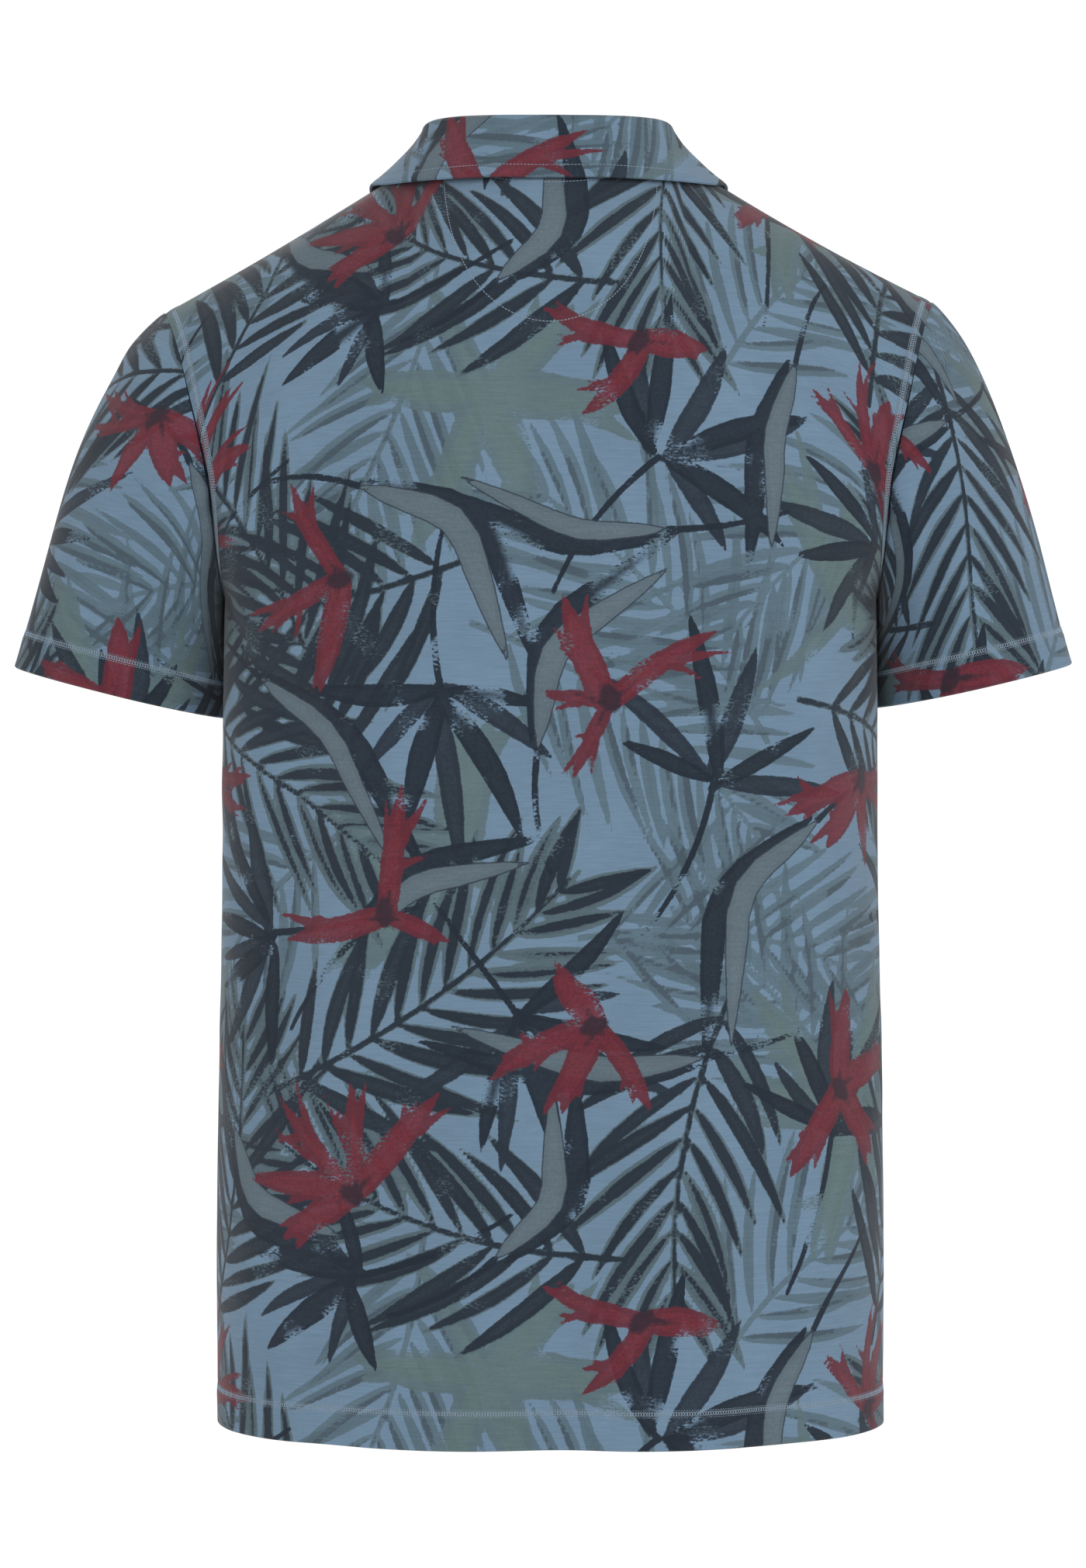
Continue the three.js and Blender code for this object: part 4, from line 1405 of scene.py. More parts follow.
@dataclass
class Collar:
    """The turned-down collar: stand and fall in one piece, open at the centre front."""

    flat: Pair = (0.6, 0.115)
    shift: Pair = (32.0, 64.0)
    half_cells: int = 130
    down_cells: int = 56
    wall: float = 1.6
    lift: float = -0.5
    fold_radius: float = 3.6
    end_x: float = 2.0
    stitch_in: float = 7.0
    stitched_from: float = 0.42  # share of the way over the collar where its ends' stitches start
    # From the centre back to the centre front: share, fold x y z, edge x y z, hollow of the fall,
    # and how far its edge is pressed towards the body.
    rows: tuple = (
        (0, 0, 64, 20.5, 0, 77, -14, 1, 4.0),
        (0.12, 29, 58.5, 20.7, 37, 72, -14.5, 1, 4.0),
        (0.24, 53.5, 42, 20.9, 70, 55, -15, 2, 2.7),
        (0.36, 67, 19, 20.3, 93, 27, -15, 3.5, 0.6),
        (0.45, 69.8, -2, 17.3, 103, -3, -14.5, 4, 0.2),
        (0.6, 64, -32, 4, 101, -43, -27, 1.5, 2.2),
        (0.75, 48, -62, -15, 87, -77, -57, -1, 2.6),
        (0.9, 22, -82, -38, 62, -104, -92, -2.5, 1.2),
        (1, 3, -89, -50, 46, -115, -115, -3, 2.4),
    )

    def _seam(self, sign: int, share: Array) -> Array:
        """The neck seam: the back's neckline up to the shoulder, then the front's.

        Args:
            sign: side of X.
            share: of the way from the centre back to the centre front.

        Returns:
            The points.
        """
        side = np.full_like(share, sign)
        behind = share <= 0.5
        along = np.interp(np.where(behind, share, 1 - share), (0, 0.1, 0.5), (0, 0.15, 1))
        back, front = (FORM.neck(panel, side, along) for panel in (Panel.BACK, Panel.FRONT))
        seam = np.where(behind[:, None], back, front)
        seam[:, 0] += sign * self.end_x * fade(0.9, 1.0, share)
        return seam + np.array([0, 0, self.lift])

    def _half(self, sign: int) -> Array:
        """Sections of one half: up the stand, round the fold and down the fall to the edge.

        Args:
            sign: side of X.

        Returns:
            Points: stations over the collar, by sections from the back to the front.
        """
        share = np.linspace(0, 1, self.half_cells + 1)
        keys, *columns = np.array(self.rows, float).T
        read = np.stack([smooth_rows(keys, column, share) for column in columns], axis=-1)
        at_fold, at_edge = (LEFT if sign > 0 else RIGHT).collar
        fold = read[:, 0:3] * np.array([sign * at_fold, 1, 1])
        edge = read[:, 3:6] * np.array([sign * at_edge, 1, 1])
        seam = self._seam(sign, share)
        rise, fall = unit(fold - seam), edge - fold
        out = unit(fall - rise * (fall * rise).sum(axis=-1, keepdims=True))
        edge = edge - out * read[:, 7:8]
        r = self.fold_radius

        def near_fold(outwards: float, down: float) -> Array:
            """Places about the fold: radii outwards from it and down the stand."""
            return fold + out * outwards * r - rise * down * r

        def on_fall(along: float) -> Array:
            """Places on the hollowed fall, a share of the way from the fold to the edge."""
            hollow = out * read[:, 6:7] * math.sin(math.pi * along)
            return near_fold(1, 1) + (edge - near_fold(1, 1)) * along - hollow

        path = [seam, seam * 0.5 + near_fold(-1, 1) * 0.5, near_fold(-1, 1), near_fold(-0.72, 0.28), fold]
        path += [near_fold(0.72, 0.28), near_fold(1, 1), on_fall(0.33), on_fall(0.67), edge]
        return np.stack(path, axis=0)

    def __post_init__(self) -> None:
        """Joins both halves, draws each section as smooth cubics and shapes the stitched edge."""
        stations = np.concatenate([self._half(-1)[:, :0:-1], self._half(1)], axis=1)
        chords = np.linalg.norm(np.diff(stations, axis=0), axis=-1).mean(axis=1)
        keys = np.concatenate([[0.0], np.cumsum(chords)])
        at = np.linspace(0, keys[-1], self.down_cells + 1)
        columns = [
            [smooth_rows(keys, stations[:, c, axis], at) for axis in range(3)]
            for c in range(stations.shape[1])
        ]
        self.cloth = cloth = ClothGrid(np.array(columns).transpose(2, 0, 1), facing=1)
        edge = np.minimum(np.minimum(cloth.to_left, cloth.to_right), cloth.to_top)
        groove = -0.3 * bell(edge - self.stitch_in, 1.3)
        pressed = -0.35 * (1 - fade(0, 2.5, edge))
        swell = 0.35 * fade(10, 25, cloth.to_top) * fade(0, 10, cloth.v)
        cloth.raise_by(groove + pressed + swell * waves(cloth.u, cloth.v, 60, 29))

    def make(self, wardrobe: Wardrobe) -> None:
        """Makes the collar with the row of stitches round its fall's edge.

        Args:
            wardrobe: its print and finishes.
        """
        cloth = self.cloth
        lips = Lips(0.4, 0.5, 0.5, 0.5)
        wardrobe.cut(cloth, "collar", self.shift, self.wall, lips, print_up=-1)
        thread = Stitching("stitches_collar")
        rows, columns = cloth.u.shape
        even = np.arange(0, columns, 2)
        side = np.interp(self.stitch_in, cloth.to_left[-1], np.arange(columns))
        middle = even[(even > side) & (even < columns - 1 - side)]
        inset = cloth.rows_down(self.stitch_in, middle)
        thread.lockstitch(Seamline(cloth, inset, middle))
        ends = np.arange(int(rows * self.stitched_from), int(min(inset[0], inset[-1])))
        for at in cloth.columns_in(self.stitch_in, ends):
            thread.lockstitch(Seamline(cloth, ends, at))
        wardrobe.dress(thread.make(), "thread")


@dataclass(frozen=True)
class Button:
    """A round four-hole button with a raised rim and a dished middle."""

    radius: float = 5.75
    thick: float = 2.4
    dish: float = 0.7
    hole: float = 0.62
    hole_at: float = 1.75
    lift: float = 0.9  # of its back above the band
    around: int = 96
    rings: int = 46

    def make(self, name: str, base: Array, axes: Array) -> Object:
        """Makes the button.

        Args:
            name: the piece's name.
            base: middle of its back.
            axes: its own x, y and outward directions.

        Returns:
            The object: a polar grid over the face, the side and the back. The face's height is a
            rounded rim less a smooth dish, less a well at each hole.
        """
        n = self.around
        angle = np.arange(n) * math.tau / n
        face_r = np.linspace(0.04, self.radius - 0.35, self.rings)
        rim = self.radius - 1.3
        face_z = self.thick - self.dish * (1 - fade(rim - 0.5, rim + 0.3, face_r))
        face_z = face_z - 0.25 * fade(self.radius - 0.8, self.radius - 0.2, face_r)
        side_r = np.array([self.radius, self.radius + 0.05, self.radius, self.radius - 0.6, 0.04])
        side_z = np.array([self.thick - 0.75, self.thick * 0.5, 0.55, 0.0, 0.0])
        r = np.concatenate([face_r, side_r])[:, None]
        z = np.concatenate([face_z, side_z])[:, None] + 0 * angle
        x, y = r * np.cos(angle), r * np.sin(angle)
        reach = self.hole_at / math.sqrt(2)
        on_face = (np.arange(len(r)) < self.rings)[:, None]
        for hx, hy in ((1, 1), (1, -1), (-1, 1), (-1, -1)):
            away = np.hypot(x - hx * reach, y - hy * reach)
            z = z - on_face * 1.2 * (1 - fade(self.hole - 0.12, self.hole + 0.1, away))
        points = base + np.stack([x, y, z], axis=-1).reshape(-1, 3) @ axes
        i, j = np.meshgrid(np.arange(len(r) - 1), np.arange(n), indexing="ij")
        ahead = (j + 1) % n
        quads = np.stack([i * n + j, (i + 1) * n + j, (i + 1) * n + ahead, i * n + ahead], axis=-1)
        top = np.arange(n)[None]
        bottom = (len(r) - 1) * n + top[:, ::-1]
        return make_object(name, points, [quads.reshape(-1, 4), top, bottom])


@dataclass
class Placket:
    """The front opening's two bands, the upper one stitched down and closed with three buttons."""

    half: float = 15.0
    foot: float = 0.97
    top: float = 1.998
    lift: float = 0.6
    under_lift: float = -3.2
    across: int = 20
    along: int = 104
    stitch_in: float = 2.6
    box: float = 16.0  # height of the stitched box at the foot
    flat: Pair = (0.031, 0.215)
    shift: Pair = (60.0, 180.0)
    button_heights: tuple[float, ...] = (-100.0, -157.0, -214.0)
    button: Button = Button()

    def band(self, lift: float) -> ClothGrid:
        """A band's outer face: the front's own points at even steps of x, moved out by the lift.

        Args:
            lift: of its inner face above the front's outer face.

        Returns:
            The band.
        """
        x = np.linspace(-self.half, self.half, self.across + 1)[None]
        up = np.linspace(self.foot, self.top, self.along + 1)[:, None]
        points = FORM.panel(Panel.FRONT, x * 0.0024, up)
        points[..., 0] = x
        cloth = ClothGrid(points, facing=1)
        cloth.raise_by(lift + WALL)
        return cloth

    def make(self, wardrobe: Wardrobe) -> None:
        """Makes both bands, their stitches and the buttons.

        Args:
            wardrobe: its print and finishes.
        """
        upper = self.band(self.lift)
        edge = np.minimum(upper.to_left, upper.to_right)
        relief = -0.3 * bell(edge - self.stitch_in, 1.0) - 0.3 * (1 - fade(0, 1.6, edge))
        relief = relief - 0.25 * bell(upper.v - self.box, 1.2)
        upper.raise_by(relief + 0.18 * np.sin(upper.v / 3.1) * bell(edge - 4.5, 3))
        lips = Lips(0.5, 0.0, 0.5, 0.5)
        wardrobe.cut(upper, "placket_upper", self.shift, WALL, lips)
        wardrobe.cut(self.band(self.under_lift), "placket_under", self.shift, WALL, lips)
        wardrobe.dress(self._sew(upper).make(), "thread")
        for number, height in enumerate(self.button_heights, start=1):
            self._fasten(wardrobe, number, height, upper)

    def _sew(self, cloth: ClothGrid) -> Stitching:
        """Sews both edges, the box at the foot and the buttonholes.

        Args:
            cloth: the upper band.

        Returns:
            Its stitches.
        """
        thread = Stitching("stitches_placket", radius=0.22)
        rows = np.arange(1, self.along)
        inset = self.stitch_in * self.across / (2 * self.half)
        for column in (inset, self.across - inset):
            thread.lockstitch(Seamline(cloth, rows, np.full(len(rows), column)))
        across = np.linspace(inset, self.across - inset, 12)
        for distance in (self.stitch_in, self.box):
            row = cloth.rows_up(distance, [self.across // 2])[0]
            thread.lockstitch(Seamline(cloth, np.full_like(across, row), across))
        for height in self.button_heights:
            self._buttonhole(thread, cloth, height)
        return thread

    def _buttonhole(self, thread: Stitching, cloth: ClothGrid, height: float) -> None:
        """Sews a buttonhole: close bars along both sides of an upright slot, and one at each end.

        Args:
            thread: takes its stitches.
            cloth: the upper band.
            height: of its middle.
        """
        middle = self.across // 2
        centre = np.interp(height, cloth.points[:, middle, 2], cloth.v[:, middle])
        rows = cloth.rows_up(centre + np.arange(-7.4, 7.41, 0.62), [middle])[0]
        points, normals, across, up = cloth.at(rows, np.full_like(rows, middle))
        for side in (-1, 1):
            thread.add(points + across * side * 0.25, points + across * side * 1.3, normals)
        for end in (0, -1):
            for aside in (-0.5, 0.0, 0.5):
                bar, reach = points[end] + up[end] * aside, across[end] * 1.4
                thread.add([bar - reach], [bar + reach], [normals[end]])

    def _fasten(self, wardrobe: Wardrobe, number: int, height: float, cloth: ClothGrid) -> None:
        """Makes one button, on the band and square to it, with its crossed threads and its shank.

        Args:
            wardrobe: its print and finishes.
            number: of the button, from the top.
            height: of its middle.
            cloth: the upper band.
        """
        middle, button = self.across // 2, self.button
        row = np.interp([height], cloth.points[:, middle, 2], np.arange(self.along + 1))
        base, normal, across, up = (a[0] for a in cloth.at(row, np.full(1, float(middle))))
        axes = np.stack([across, up, normal])
        obj = button.make(f"button_{number}_plastic", base + normal * button.lift, axes)
        wardrobe.dress(obj, "button_plastic", f"button_{number}")
        thread = Stitching(f"stitches_button_{number}", radius=0.3)
        face = base + normal * (button.lift + button.thick - button.dish)
        reach = button.hole_at / math.sqrt(2)
        for x, y in ((1, 1), (1, -1)):
            for aside in (-0.28, 0.28):
                slant = across * x * reach + up * y * reach
                middle_of_pair = face + unit(across * y - up * x) * aside
                thread.add([middle_of_pair - slant], [middle_of_pair + slant], [normal])
            for end in (-1, 1):
                foot = base + (across * x + up * y) * end * 0.8 - normal * 0.3
                thread.add([foot], [foot + normal * 1.5], [across])
        wardrobe.dress(thread.make(), "thread")


@dataclass
class HalfMoon:
    """The half-moon patch inside the back, below the neckline."""

    reach: float = 4.6
    drop: float = 0.315
    roundness: float = 2.5
    gap: float = 1.0
    wall: float = 1.0
    around: int = 80
    down: int = 48
    flat: Pair = (0.14, 0.1)
    shift: Pair = (250.0, 60.0)

    def make(self, wardrobe: Wardrobe) -> None:
        """Makes the patch: rows across a superellipse that hangs from the neckline.

        Args:
            wardrobe: its print and finishes.
        """
        deep = np.sin(math.pi / 2 * (0.01 + 0.96 * np.linspace(1, 0, self.down + 1)))
        half = (1 - deep**self.roundness) ** (1 / self.roundness) * self.reach
        column = np.linspace(-1, 1, self.around + 1)[None] * half[:, None]
        share = np.interp(np.abs(column), [0, 1, 5], [0, 0.045, 0.3]) * np.sign(column)
        points = FORM.panel(Panel.BACK, share, 2 - self.drop * deep[:, None])
        cloth = ClothGrid(points, facing=-1)
        cloth.raise_by(-(WALL + self.gap))
        wardrobe.cut(cloth, "half_moon", self.shift, self.wall)


# ---- Finishes ----
Socket = bpy.types.NodeSocket
Tree = bpy.types.NodeTree
Node = bpy.types.Node
Material = bpy.types.Material
Value = Socket | float


def colour(code: str) -> tuple[float, float, float, float]:
    """Turns a six-digit sRGB code into linear light.

    Args:
        code: red, green and blue, two digits each.

    Returns:
        Red, green, blue and an alpha of 1.
    """
    parts = [int(code[i : i + 2], 16) / 255 for i in (0, 2, 4)]
    linear = [p / 12.92 if p <= 0.04045 else ((p + 0.055) / 1.055) ** 2.4 for p in parts]
    return (*linear, 1.0)


@dataclass
class Sketch:
    """Short-hand for laying out one node tree."""

    tree: Tree

    def node(self, kind: str, **settings: object) -> Node:
        """Adds a node of a kind and sets its properties.

        Args:
            kind: the node's type.
            settings: its properties.

        Returns:
            The node.
        """
        made = self.tree.nodes.new(kind)
        for key, value in settings.items():
            setattr(made, key, value)
        return made

    def feed(self, socket: Socket, value: object) -> None:
        """Links a socket to an output, or sets its own value.

        Args:
            socket: an input.
            value: an output, a number, a vector or a colour.
        """
        if isinstance(value, Socket):
            self.tree.links.new(value, socket)
        else:
            socket.default_value = value

    def fill(self, node: Node, *first: object, **named: object) -> bpy.types.NodeOutputs:
        """Feeds a node's inputs, in their order and by name, with underscores for spaces.

        Args:
            node: whose inputs are fed.
            first: what goes into the first inputs.
            named: what goes into inputs of these names.

        Returns:
            The node's outputs.
        """
        for socket, value in zip(node.inputs, first):
            self.feed(socket, value)
        for key, value in named.items():
            self.feed(node.inputs[key.replace("_", " ")], value)
        return node.outputs

    def math(self, operation: str, *values: Value) -> Socket:
        """Result of a Math node."""
        return self.fill(self.node("ShaderNodeMath", operation=operation), *values)[0]

    def plus(self, a: Value, b: Value) -> Socket:
        """Sum of two values."""
        return self.math("ADD", a, b)

    def minus(self, a: Value, b: Value) -> Socket:
        """Difference of two values."""
        return self.math("SUBTRACT", a, b)

    def times(self, a: Value, b: Value) -> Socket:
        """Product of two values."""
        return self.math("MULTIPLY", a, b)

    def ramp(self, value: Value, low: Value, high: Value, to: Pair = (0.0, 1.0)) -> Socket:
        """Smooth step of a value between low and high."""
        made = self.node("ShaderNodeMapRange", interpolation_type="SMOOTHSTEP")
        return self.fill(made, value, low, high, *to)[0]

    def mix(self, factor: Value, a: object, b: object, blend: str = "MIX") -> Socket:
        """Mix of two colours.

        Args:
            factor: share of the second colour.
            a: first colour.
            b: second colour.
            blend: how they mix.

        Returns:
            The mixed colour.
        """
        made = self.node("ShaderNodeMix", data_type="RGBA", blend_type=blend)
        for place, value in ((0, factor), (6, a), (7, b)):
            self.feed(made.inputs[place], value)
        return made.outputs[2]

    def noise(self, vector: Socket, scale: float, detail: float = 2.0, rough: float = 0.5) -> Socket:
        """Value of a noise texture."""
        made = self.node("ShaderNodeTexNoise")
        return self.fill(made, Vector=vector, Scale=scale, Detail=detail, Roughness=rough)["Fac"]

    def stretched(self, vector: Socket, x: float, y: float, z: float = 1.0) -> Socket:
        """A place scaled differently along each axis."""
        return self.fill(self.node("ShaderNodeMapping"), Vector=vector, Scale=(x, y, z))["Vector"]

    def attribute(self, name: str) -> Socket:
        """A number kept on the mesh."""
        return self.node("ShaderNodeAttribute", attribute_name=name).outputs["Fac"]

    def group(self, tree: Tree, **values: object) -> bpy.types.NodeOutputs:
        """Places a node group, feeds its inputs and gives its outputs."""
        return self.fill(self.node("ShaderNodeGroup", node_tree=tree), **values)

    def bump(self, height: Socket, strength: float, distance: float) -> Socket:
        """Normal raised by a height, at a strength and over a distance in metres."""
        made = self.node("ShaderNodeBump")
        return self.fill(made, Height=height, Strength=strength, Distance=distance)["Normal"]


def new_group(name: str, inputs: str, outputs: str) -> tuple[Sketch, list[Socket], Node]:
    """Starts a node group, whose sockets are numbers but for a vector named Place.

    Args:
        name: of the group.
        inputs: names of its inputs, with spaces between them.
        outputs: names of its outputs.

    Returns:
        The sketch of its tree, what its inputs bring in their order, and its output node.
    """
    tree = bpy.data.node_groups.new(name, "ShaderNodeTree")
    for names, side in ((inputs, "INPUT"), (outputs, "OUTPUT")):
        for key in names.split():
            kind = "NodeSocketVector" if key == "Place" else "NodeSocketFloat"
            tree.interface.new_socket(key, in_out=side, socket_type=kind)
    sketch = Sketch(tree)
    given = sketch.node("NodeGroupInput").outputs
    return sketch, [given[key] for key in inputs.split()], sketch.node("NodeGroupOutput")


def brush_group() -> Tree:
    """Ragged brush edge: a mask from the distance inside a stroke, broken by grain and dry streaks.

    Returns:
        The group.
    """
    sketch, (inside, place, ragged, dryness, soft), result = new_group(
        "brush_edge", "Inside Place Ragged Dryness Soft", "Mask"
    )
    grain = sketch.minus(sketch.noise(place, 420, 3, 0.65), 0.5)
    broad = sketch.minus(sketch.noise(place, 90, 2), 0.5)
    wander = sketch.times(sketch.plus(grain, broad), ragged)
    edge = sketch.ramp(sketch.plus(inside, wander), -0.25, sketch.plus(soft, 0.35))
    dry = sketch.noise(sketch.stretched(place, 380, 760), 1.0, 4, 0.72)
    patch = sketch.ramp(sketch.noise(place, 28, 1), 0.44, 0.66)
    level = sketch.minus(0.8, sketch.times(dryness, patch))
    bare = sketch.ramp(dry, level, sketch.plus(level, 0.07))
    hole = sketch.times(bare, sketch.ramp(inside, 6.0, 0.5))
    sketch.fill(result, Mask=sketch.times(edge, sketch.minus(1.0, hole)))
    return sketch.tree


def scumble_group() -> Tree:
    """Second brush load: a streaky mask over the middle of a stroke, from a depth inside its edge.

    Returns:
        The group.
    """
    sketch, (inside, place, depth), result = new_group("scumble", "Inside Place Depth", "Mask")
    broad = sketch.minus(sketch.noise(place, 60, 3, 0.6), 0.5)
    uneven = sketch.plus(inside, sketch.times(broad, 3.0))
    middle = sketch.ramp(uneven, depth, sketch.plus(depth, 0.8))
    streak = sketch.ramp(sketch.noise(sketch.stretched(place, 500, 500), 1.0, 3, 0.7), 0.36, 0.6)
    sketch.fill(result, Mask=sketch.times(middle, streak))
    return sketch.tree


def knit_group() -> Tree:
    """Fine jersey: upright wales a little under a millimetre apart, uneven yarn and short slubs.

    Returns:
        The group.
    """
    sketch, (place, wales), result = new_group("jersey_knit", "Place Wales", "Height Tone")
    across = sketch.fill(sketch.node("ShaderNodeSeparateXYZ"), place)[0]
    wale = sketch.math("ABSOLUTE", sketch.math("SINE", sketch.times(across, wales)))
    slub = sketch.noise(sketch.stretched(place, 55, 900), 1.0, 3, 0.6)
    fuzz = sketch.noise(place, 1500, 2, 0.6)
    height = sketch.plus(sketch.plus(sketch.times(wale, 0.45), slub), sketch.times(fuzz, 0.5))
    tone = sketch.plus(sketch.times(slub, 0.65), sketch.times(fuzz, 0.35))
    sketch.fill(result, Height=height, Tone=tone)
    return sketch.tree


def start_material(name: str) -> tuple[Material, Sketch, Node]:
    """Starts an empty node material with one shader.

    Args:
        name: of the material.

    Returns:
        The material, the sketch of its tree and its shader.
    """
    material = bpy.data.materials.new(name)
    material.use_nodes = True
    material.node_tree.nodes.clear()
    sketch = Sketch(material.node_tree)
    shader = sketch.node("ShaderNodeBsdfPrincipled")
    sketch.feed(sketch.node("ShaderNodeOutputMaterial").inputs["Surface"], shader.outputs["BSDF"])
    return material, sketch, shader


@dataclass(frozen=True)
class Ink:
    """One printed layer: its channel and colour, how strongly it covers and how rough its edge is.

    A second colour is scumbled over the middle of its strokes, from a depth inside their edge. The
    inset draws the whole layer that much narrower than its strokes.
    """

    channel: str
    shade: str
    cover: float
    ragged: float
    dryness: float
    soft: float
    inner: str
    depth: float
    amount: float
    inset: float = 0.0

    def lay_on(self, sketch: Sketch, place: Socket, cloth: object, brush: Tree, scumble: Tree) -> Socket:
        """Prints the layer.

        Args:
            sketch: of the cloth's tree.
            place: on the flat cloth, in metres.
            cloth: the colour below, as a socket or four numbers.
            brush: the group of ragged edges.
            scumble: the group of second brush loads.

        Returns:
            The cloth's colour with the layer on it.
        """
        inside = sketch.attribute(self.channel)
        if self.inset:
            inside = sketch.minus(inside, self.inset)
        brushed = {"Ragged": self.ragged, "Dryness": self.dryness, "Soft": self.soft}
        edge = sketch.group(brush, Inside=inside, Place=place, **brushed)["Mask"]
        middle = sketch.group(scumble, Inside=inside, Place=place, Depth=self.depth)["Mask"]
        over = sketch.times(middle, self.amount)
        paint = sketch.mix(over, colour(self.shade), colour(self.inner))
        return sketch.mix(sketch.times(edge, self.cover), cloth, paint)


@dataclass(frozen=True)
class PrintedJersey:
    """Cotton jersey printed with the leaves; the wrong side shows the print faintly."""

    ground: str = "6E879D"
    wrong_side: float = 0.5
    wale_step: float = 0.00085  # metres from one upright row of the knit to the next
    inks: tuple[Ink, ...] = (
        Ink("pale_a", "586D78", 0.86, 1.3, 0.1, 0.0, "4B5D66", 2.2, 0.5),
        Ink("pale_b", "546974", 0.86, 1.3, 0.1, 0.0, "47585F", 2.2, 0.5),
        Ink("streak", "43515C", 0.8, 1.5, 0.45, 0.0, "384652", 1.4, 0.5),
        Ink("sage", "5A6E73", 0.9, 2.6, 0.35, 0.2, "63766F", 4.5, 0.6),
        Ink("mid", "53656D", 0.95, 1.0, 0.12, 0.0, "3E4B55", 1.6, 0.6),
        Ink("dark_a", "212B37", 0.96, 1.5, 0.3, 0.2, "39454F", 2.6, 0.35),
        Ink("dark_b", "232D39", 0.96, 1.5, 0.3, 0.2, "38444E", 2.6, 0.35),
        Ink("shade", "1E2834", 0.98, 1.0, 0.42, 0.0, "2B3540", 2.2, 0.5),
        Ink("leaf", "303A45", 0.95, 0.9, 0.0, 0.0, "303A45", 2.0, 0.0),
        Ink("leaf", "5C6B75", 0.97, 0.9, 0.02, 0.0, "66767F", 2.0, 0.6, 0.75),
        Ink("petal", "622834", 0.95, 2.2, 0.3, 0.0, "772E39", 2.4, 0.8),
        Ink("core", "2C2530", 0.86, 3.4, 0.2, 2.2, "2A2530", 1.5, 0.6),
    )

    def make(self) -> Material:
        """Builds the material: the inks over the ground in order, then the knit.

        Returns:
            The material.
        """
        brush, scumble, knit = brush_group(), scumble_group(), knit_group()
        material, sketch, shader = start_material("jersey_cloth")
        place = sketch.node("ShaderNodeUVMap", uv_map="cloth").outputs["UV"]
        ground = colour(self.ground)
        cloth: object = ground
        for ink in self.inks:
            cloth = ink.lay_on(sketch, place, cloth, brush, scumble)
        weave = sketch.group(knit, Place=place, Wales=math.pi / self.wale_step)
        tone = sketch.ramp(weave["Tone"], 0.3, 0.7, (0.9, 1.1))
        cloud = sketch.ramp(sketch.noise(place, 14, 3, 0.6), 0.3, 0.7, (0.95, 1.05))
        shade = sketch.times(tone, cloud)
        grey = sketch.fill(sketch.node("ShaderNodeCombineColor"), shade, shade, shade)[0]
        cloth = sketch.mix(1.0, cloth, grey, "MULTIPLY")
        wrong = sketch.times(sketch.attribute("inside"), self.wrong_side)
        sketch.fill(
            shader,
            Base_Color=sketch.mix(wrong, cloth, ground),
            Roughness=0.88,
            Specular_IOR_Level=0.18,
            Sheen_Weight=0.22,
            Sheen_Roughness=0.5,
            Normal=sketch.bump(weave["Height"], 0.35, 0.0003),
        )
        return material


@dataclass(frozen=True)
class SewingThread:
    """Spun sewing thread near the ground's colour, with its twist as fine bands and painted shade at the
    needle holes, where it dives into the cloth.
    """

    light: str = "9AAAB7"
    dark: str = "7D90A0"
    # painted shade: the colour the thread darkens to at its ends, in place of the shadow inside the needle
    # holes
    hole: str = "27343F"

    def make(self) -> Material:
        """Builds the material.

        Returns:
            The material.
        """
        material, sketch, shader = start_material("sewing_thread")
        place = sketch.node("ShaderNodeTexCoord").outputs["Object"]
        twist = sketch.noise(sketch.stretched(place, 2200, 2200, 2200), 1.0, 2, 0.6)
        mixed = sketch.mix(sketch.ramp(twist, 0.35, 0.65), colour(self.dark), colour(self.light))
        # Painted shade: the thread's ends darken towards the hole colour where they dive into the needle
        # holes.
        dip_shade = sketch.ramp(sketch.attribute("dip_shade"), 0.25, 0.95)
        sketch.fill(
            shader,
            Base_Color=sketch.mix(dip_shade, mixed, colour(self.hole)),
            Roughness=0.7,
            Specular_IOR_Level=0.25,
            Normal=sketch.bump(twist, 0.3, 0.0001),
        )
        return material


@dataclass(frozen=True)
class ButtonPlastic:
    """Cast polyester with soft clouds and a low polish."""

    light: str = "4D617A"
    dark: str = "34475D"

    def make(self) -> Material:
        """Builds the material.

        Returns:
            The material.
        """
        material, sketch, shader = start_material("cast_button")
        place = sketch.node("ShaderNodeTexCoord").outputs["Object"]
        cloud = sketch.ramp(sketch.noise(place, 260, 4, 0.6), 0.35, 0.65)
        sketch.fill(
            shader,
            Base_Color=sketch.mix(cloud, colour(self.dark), colour(self.light)),
            Roughness=sketch.ramp(sketch.noise(place, 1800, 3, 0.6), 0.3, 0.7, (0.26, 0.4)),
            Coat_Weight=0.15,
            Coat_Roughness=0.2,
        )
        return material


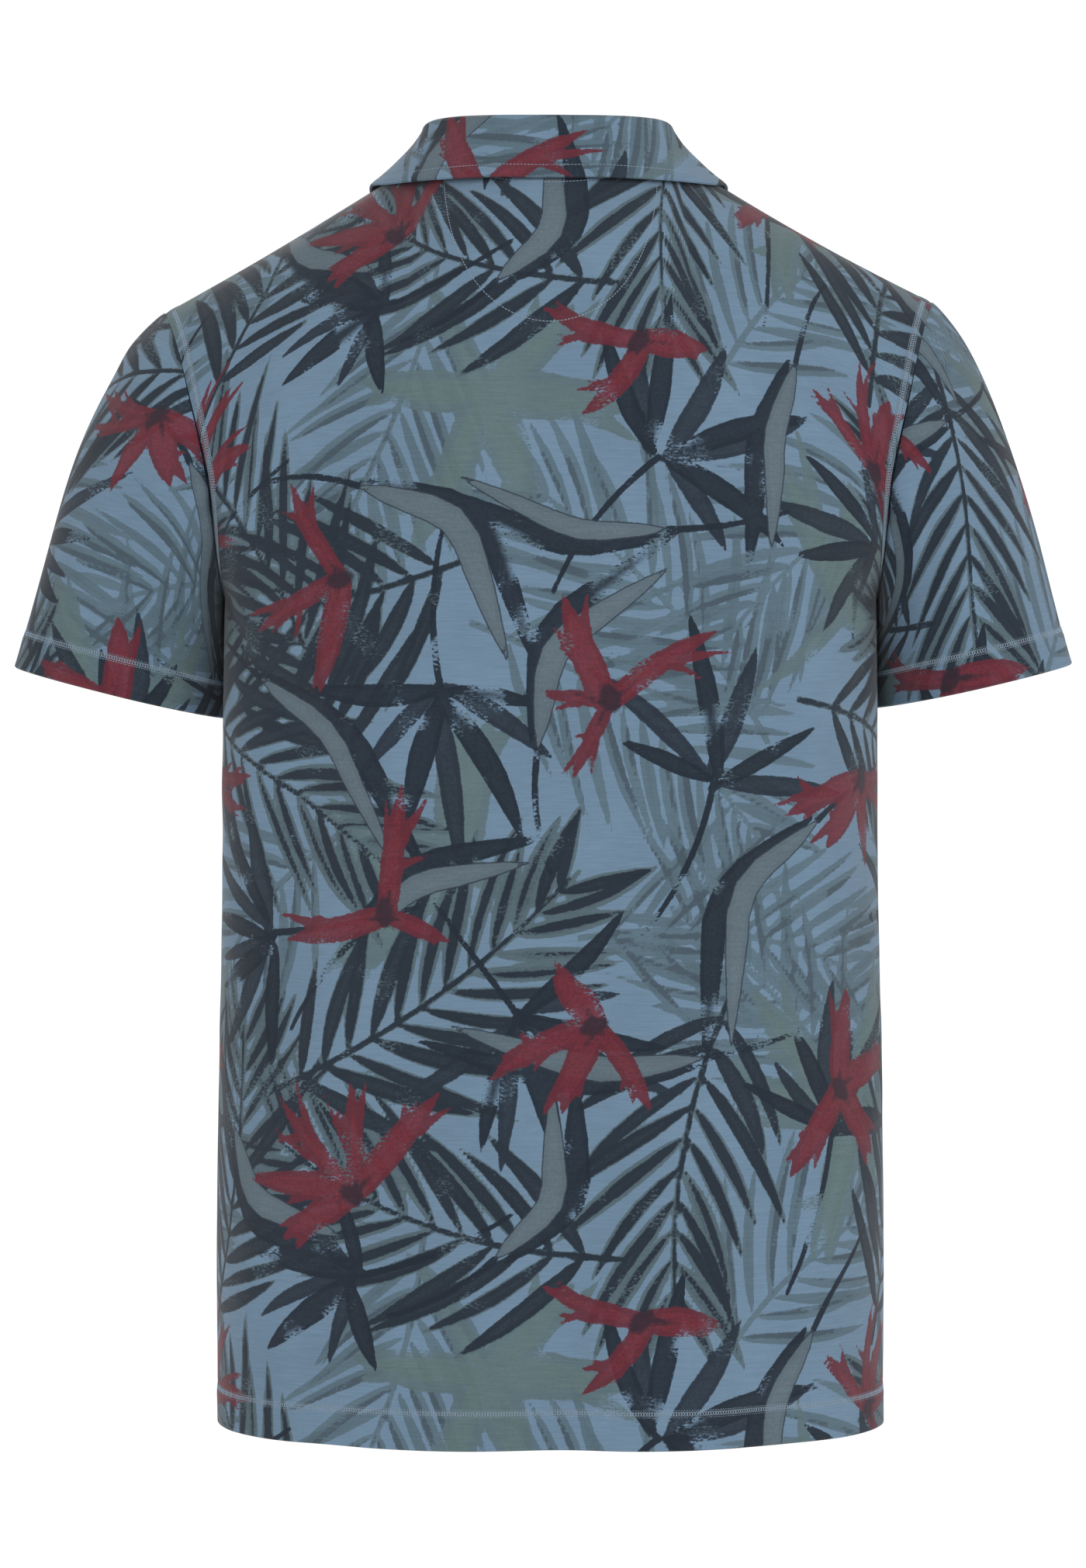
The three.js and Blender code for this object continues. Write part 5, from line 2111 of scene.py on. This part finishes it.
# ---- Studio ----
@dataclass
class Studio:
    """Camera behind the shirt, soft even light and a pale floor."""

    distance: float = 3.0
    camera_x: float = 0.0042
    camera_z: float = -0.2212
    aim_z: float = -0.3542
    lens: float = 121.0
    floor_z: float = -1.5
    floor_radius: float = 2.2
    # Square soft lights: name, place, size in metres, power in watts.
    lamps: tuple = (
        ("key", (-1.9, 2.7, 1.1), 2.0, 45.0),
        ("fill", (1.5, 3.1, 0.5), 2.2, 29.0),
        ("left_side", (3.0, 0.8, 0.0), 1.6, 15.0),
        ("right_side", (-3.0, 0.8, 0.1), 1.6, 14.0),
        ("front_fill", (0.6, -3.2, 0.8), 2.2, 42.0),
    )

    def _hang(self, data: bpy.types.ID, place: Sequence[float], aim: Sequence[float]) -> Object:
        """Puts a camera or a lamp in its place, turned towards a point.

        Args:
            data: of the camera or the lamp.
            place: where it stands.
            aim: the point that it faces.

        Returns:
            Its object.
        """
        made = bpy.data.objects.new(data.name, data)
        made.location = place
        made.rotation_euler = (Vector(aim) - made.location).to_track_quat("-Z", "Y").to_euler()
        bpy.context.scene.collection.objects.link(made)
        return made

    def camera(self) -> None:
        """Makes the camera and looks at the middle of the back."""
        data = bpy.data.cameras.new("camera")
        data.sensor_fit = "VERTICAL"
        data.sensor_height = 36.0
        data.lens = self.lens
        place = (self.camera_x, self.distance, self.camera_z)
        bpy.context.scene.camera = self._hang(data, place, (self.camera_x, 0.0, self.aim_z))

    def light(self) -> None:
        """Sets the pale surroundings and the soft lights, with the view left plain."""
        scene = bpy.context.scene
        scene.view_settings.view_transform = "Standard"
        world = bpy.data.worlds.new("surroundings")
        scene.world = world
        world.use_nodes = True
        sky = Sketch(world.node_tree)
        seen = sky.node("ShaderNodeLightPath").outputs["Is Camera Ray"]
        strength = sky.ramp(seen, 0.0, 1.0, (0.42, 1.05))
        sky.fill(world.node_tree.nodes["Background"], Color=(1, 1, 1, 1), Strength=strength)
        for name, place, size, power in self.lamps:
            data = bpy.data.lights.new(name, "AREA")
            data.energy = power
            data.size = size
            self._hang(data, place, (0.0, 0.0, -0.35))

    def floor(self) -> None:
        """Lays a round pale floor."""
        angle = np.arange(96) * math.tau / 96
        ring = np.stack([np.cos(angle), np.sin(angle), 0 * angle], axis=-1) * self.floor_radius / MM
        ring[:, 2] = self.floor_z / MM
        obj = make_object("floor", ring, [np.arange(96)[None]])
        material, sketch, shader = start_material("pale_floor")
        place = sketch.node("ShaderNodeTexCoord").outputs["Object"]
        tone = sketch.mix(sketch.noise(place, 3, 2), colour("E4E6E8"), colour("ECEEF0"))
        sketch.fill(shader, Base_Color=tone, Roughness=0.8)
        obj.data.materials.append(material)


def main() -> None:
    """Builds the studio, the finishes and the shirt's pieces in order."""
    logging.basicConfig(level=logging.INFO, format="%(name)s: %(message)s")
    studio = Studio()
    studio.camera()
    studio.light()
    studio.floor()
    finishes = {
        "printed_jersey": PrintedJersey().make(),
        "thread": SewingThread().make(),
        "button_plastic": ButtonPlastic().make(),
    }
    wardrobe = Wardrobe(LeafPrint(), finishes)
    BodyPanel(Panel.BACK, "back", (0.51, 0.765), (104.0, 104.0), BACK_CREASES).make(wardrobe)
    BodyPanel(Panel.FRONT, "front", (0.51, 0.765), (215.0, 260.0), FRONT_CREASES).make(wardrobe)
    Sleeve(LEFT, (0.46, 0.225), (280.0, 312.0), LEFT_SLEEVE_CREASES).make(wardrobe)
    Sleeve(RIGHT, (0.46, 0.225), (392.0, 168.0), RIGHT_SLEEVE_CREASES).make(wardrobe)
    Collar().make(wardrobe)
    Placket().make(wardrobe)
    HalfMoon().make(wardrobe)


if __name__ == "__main__":
    main()
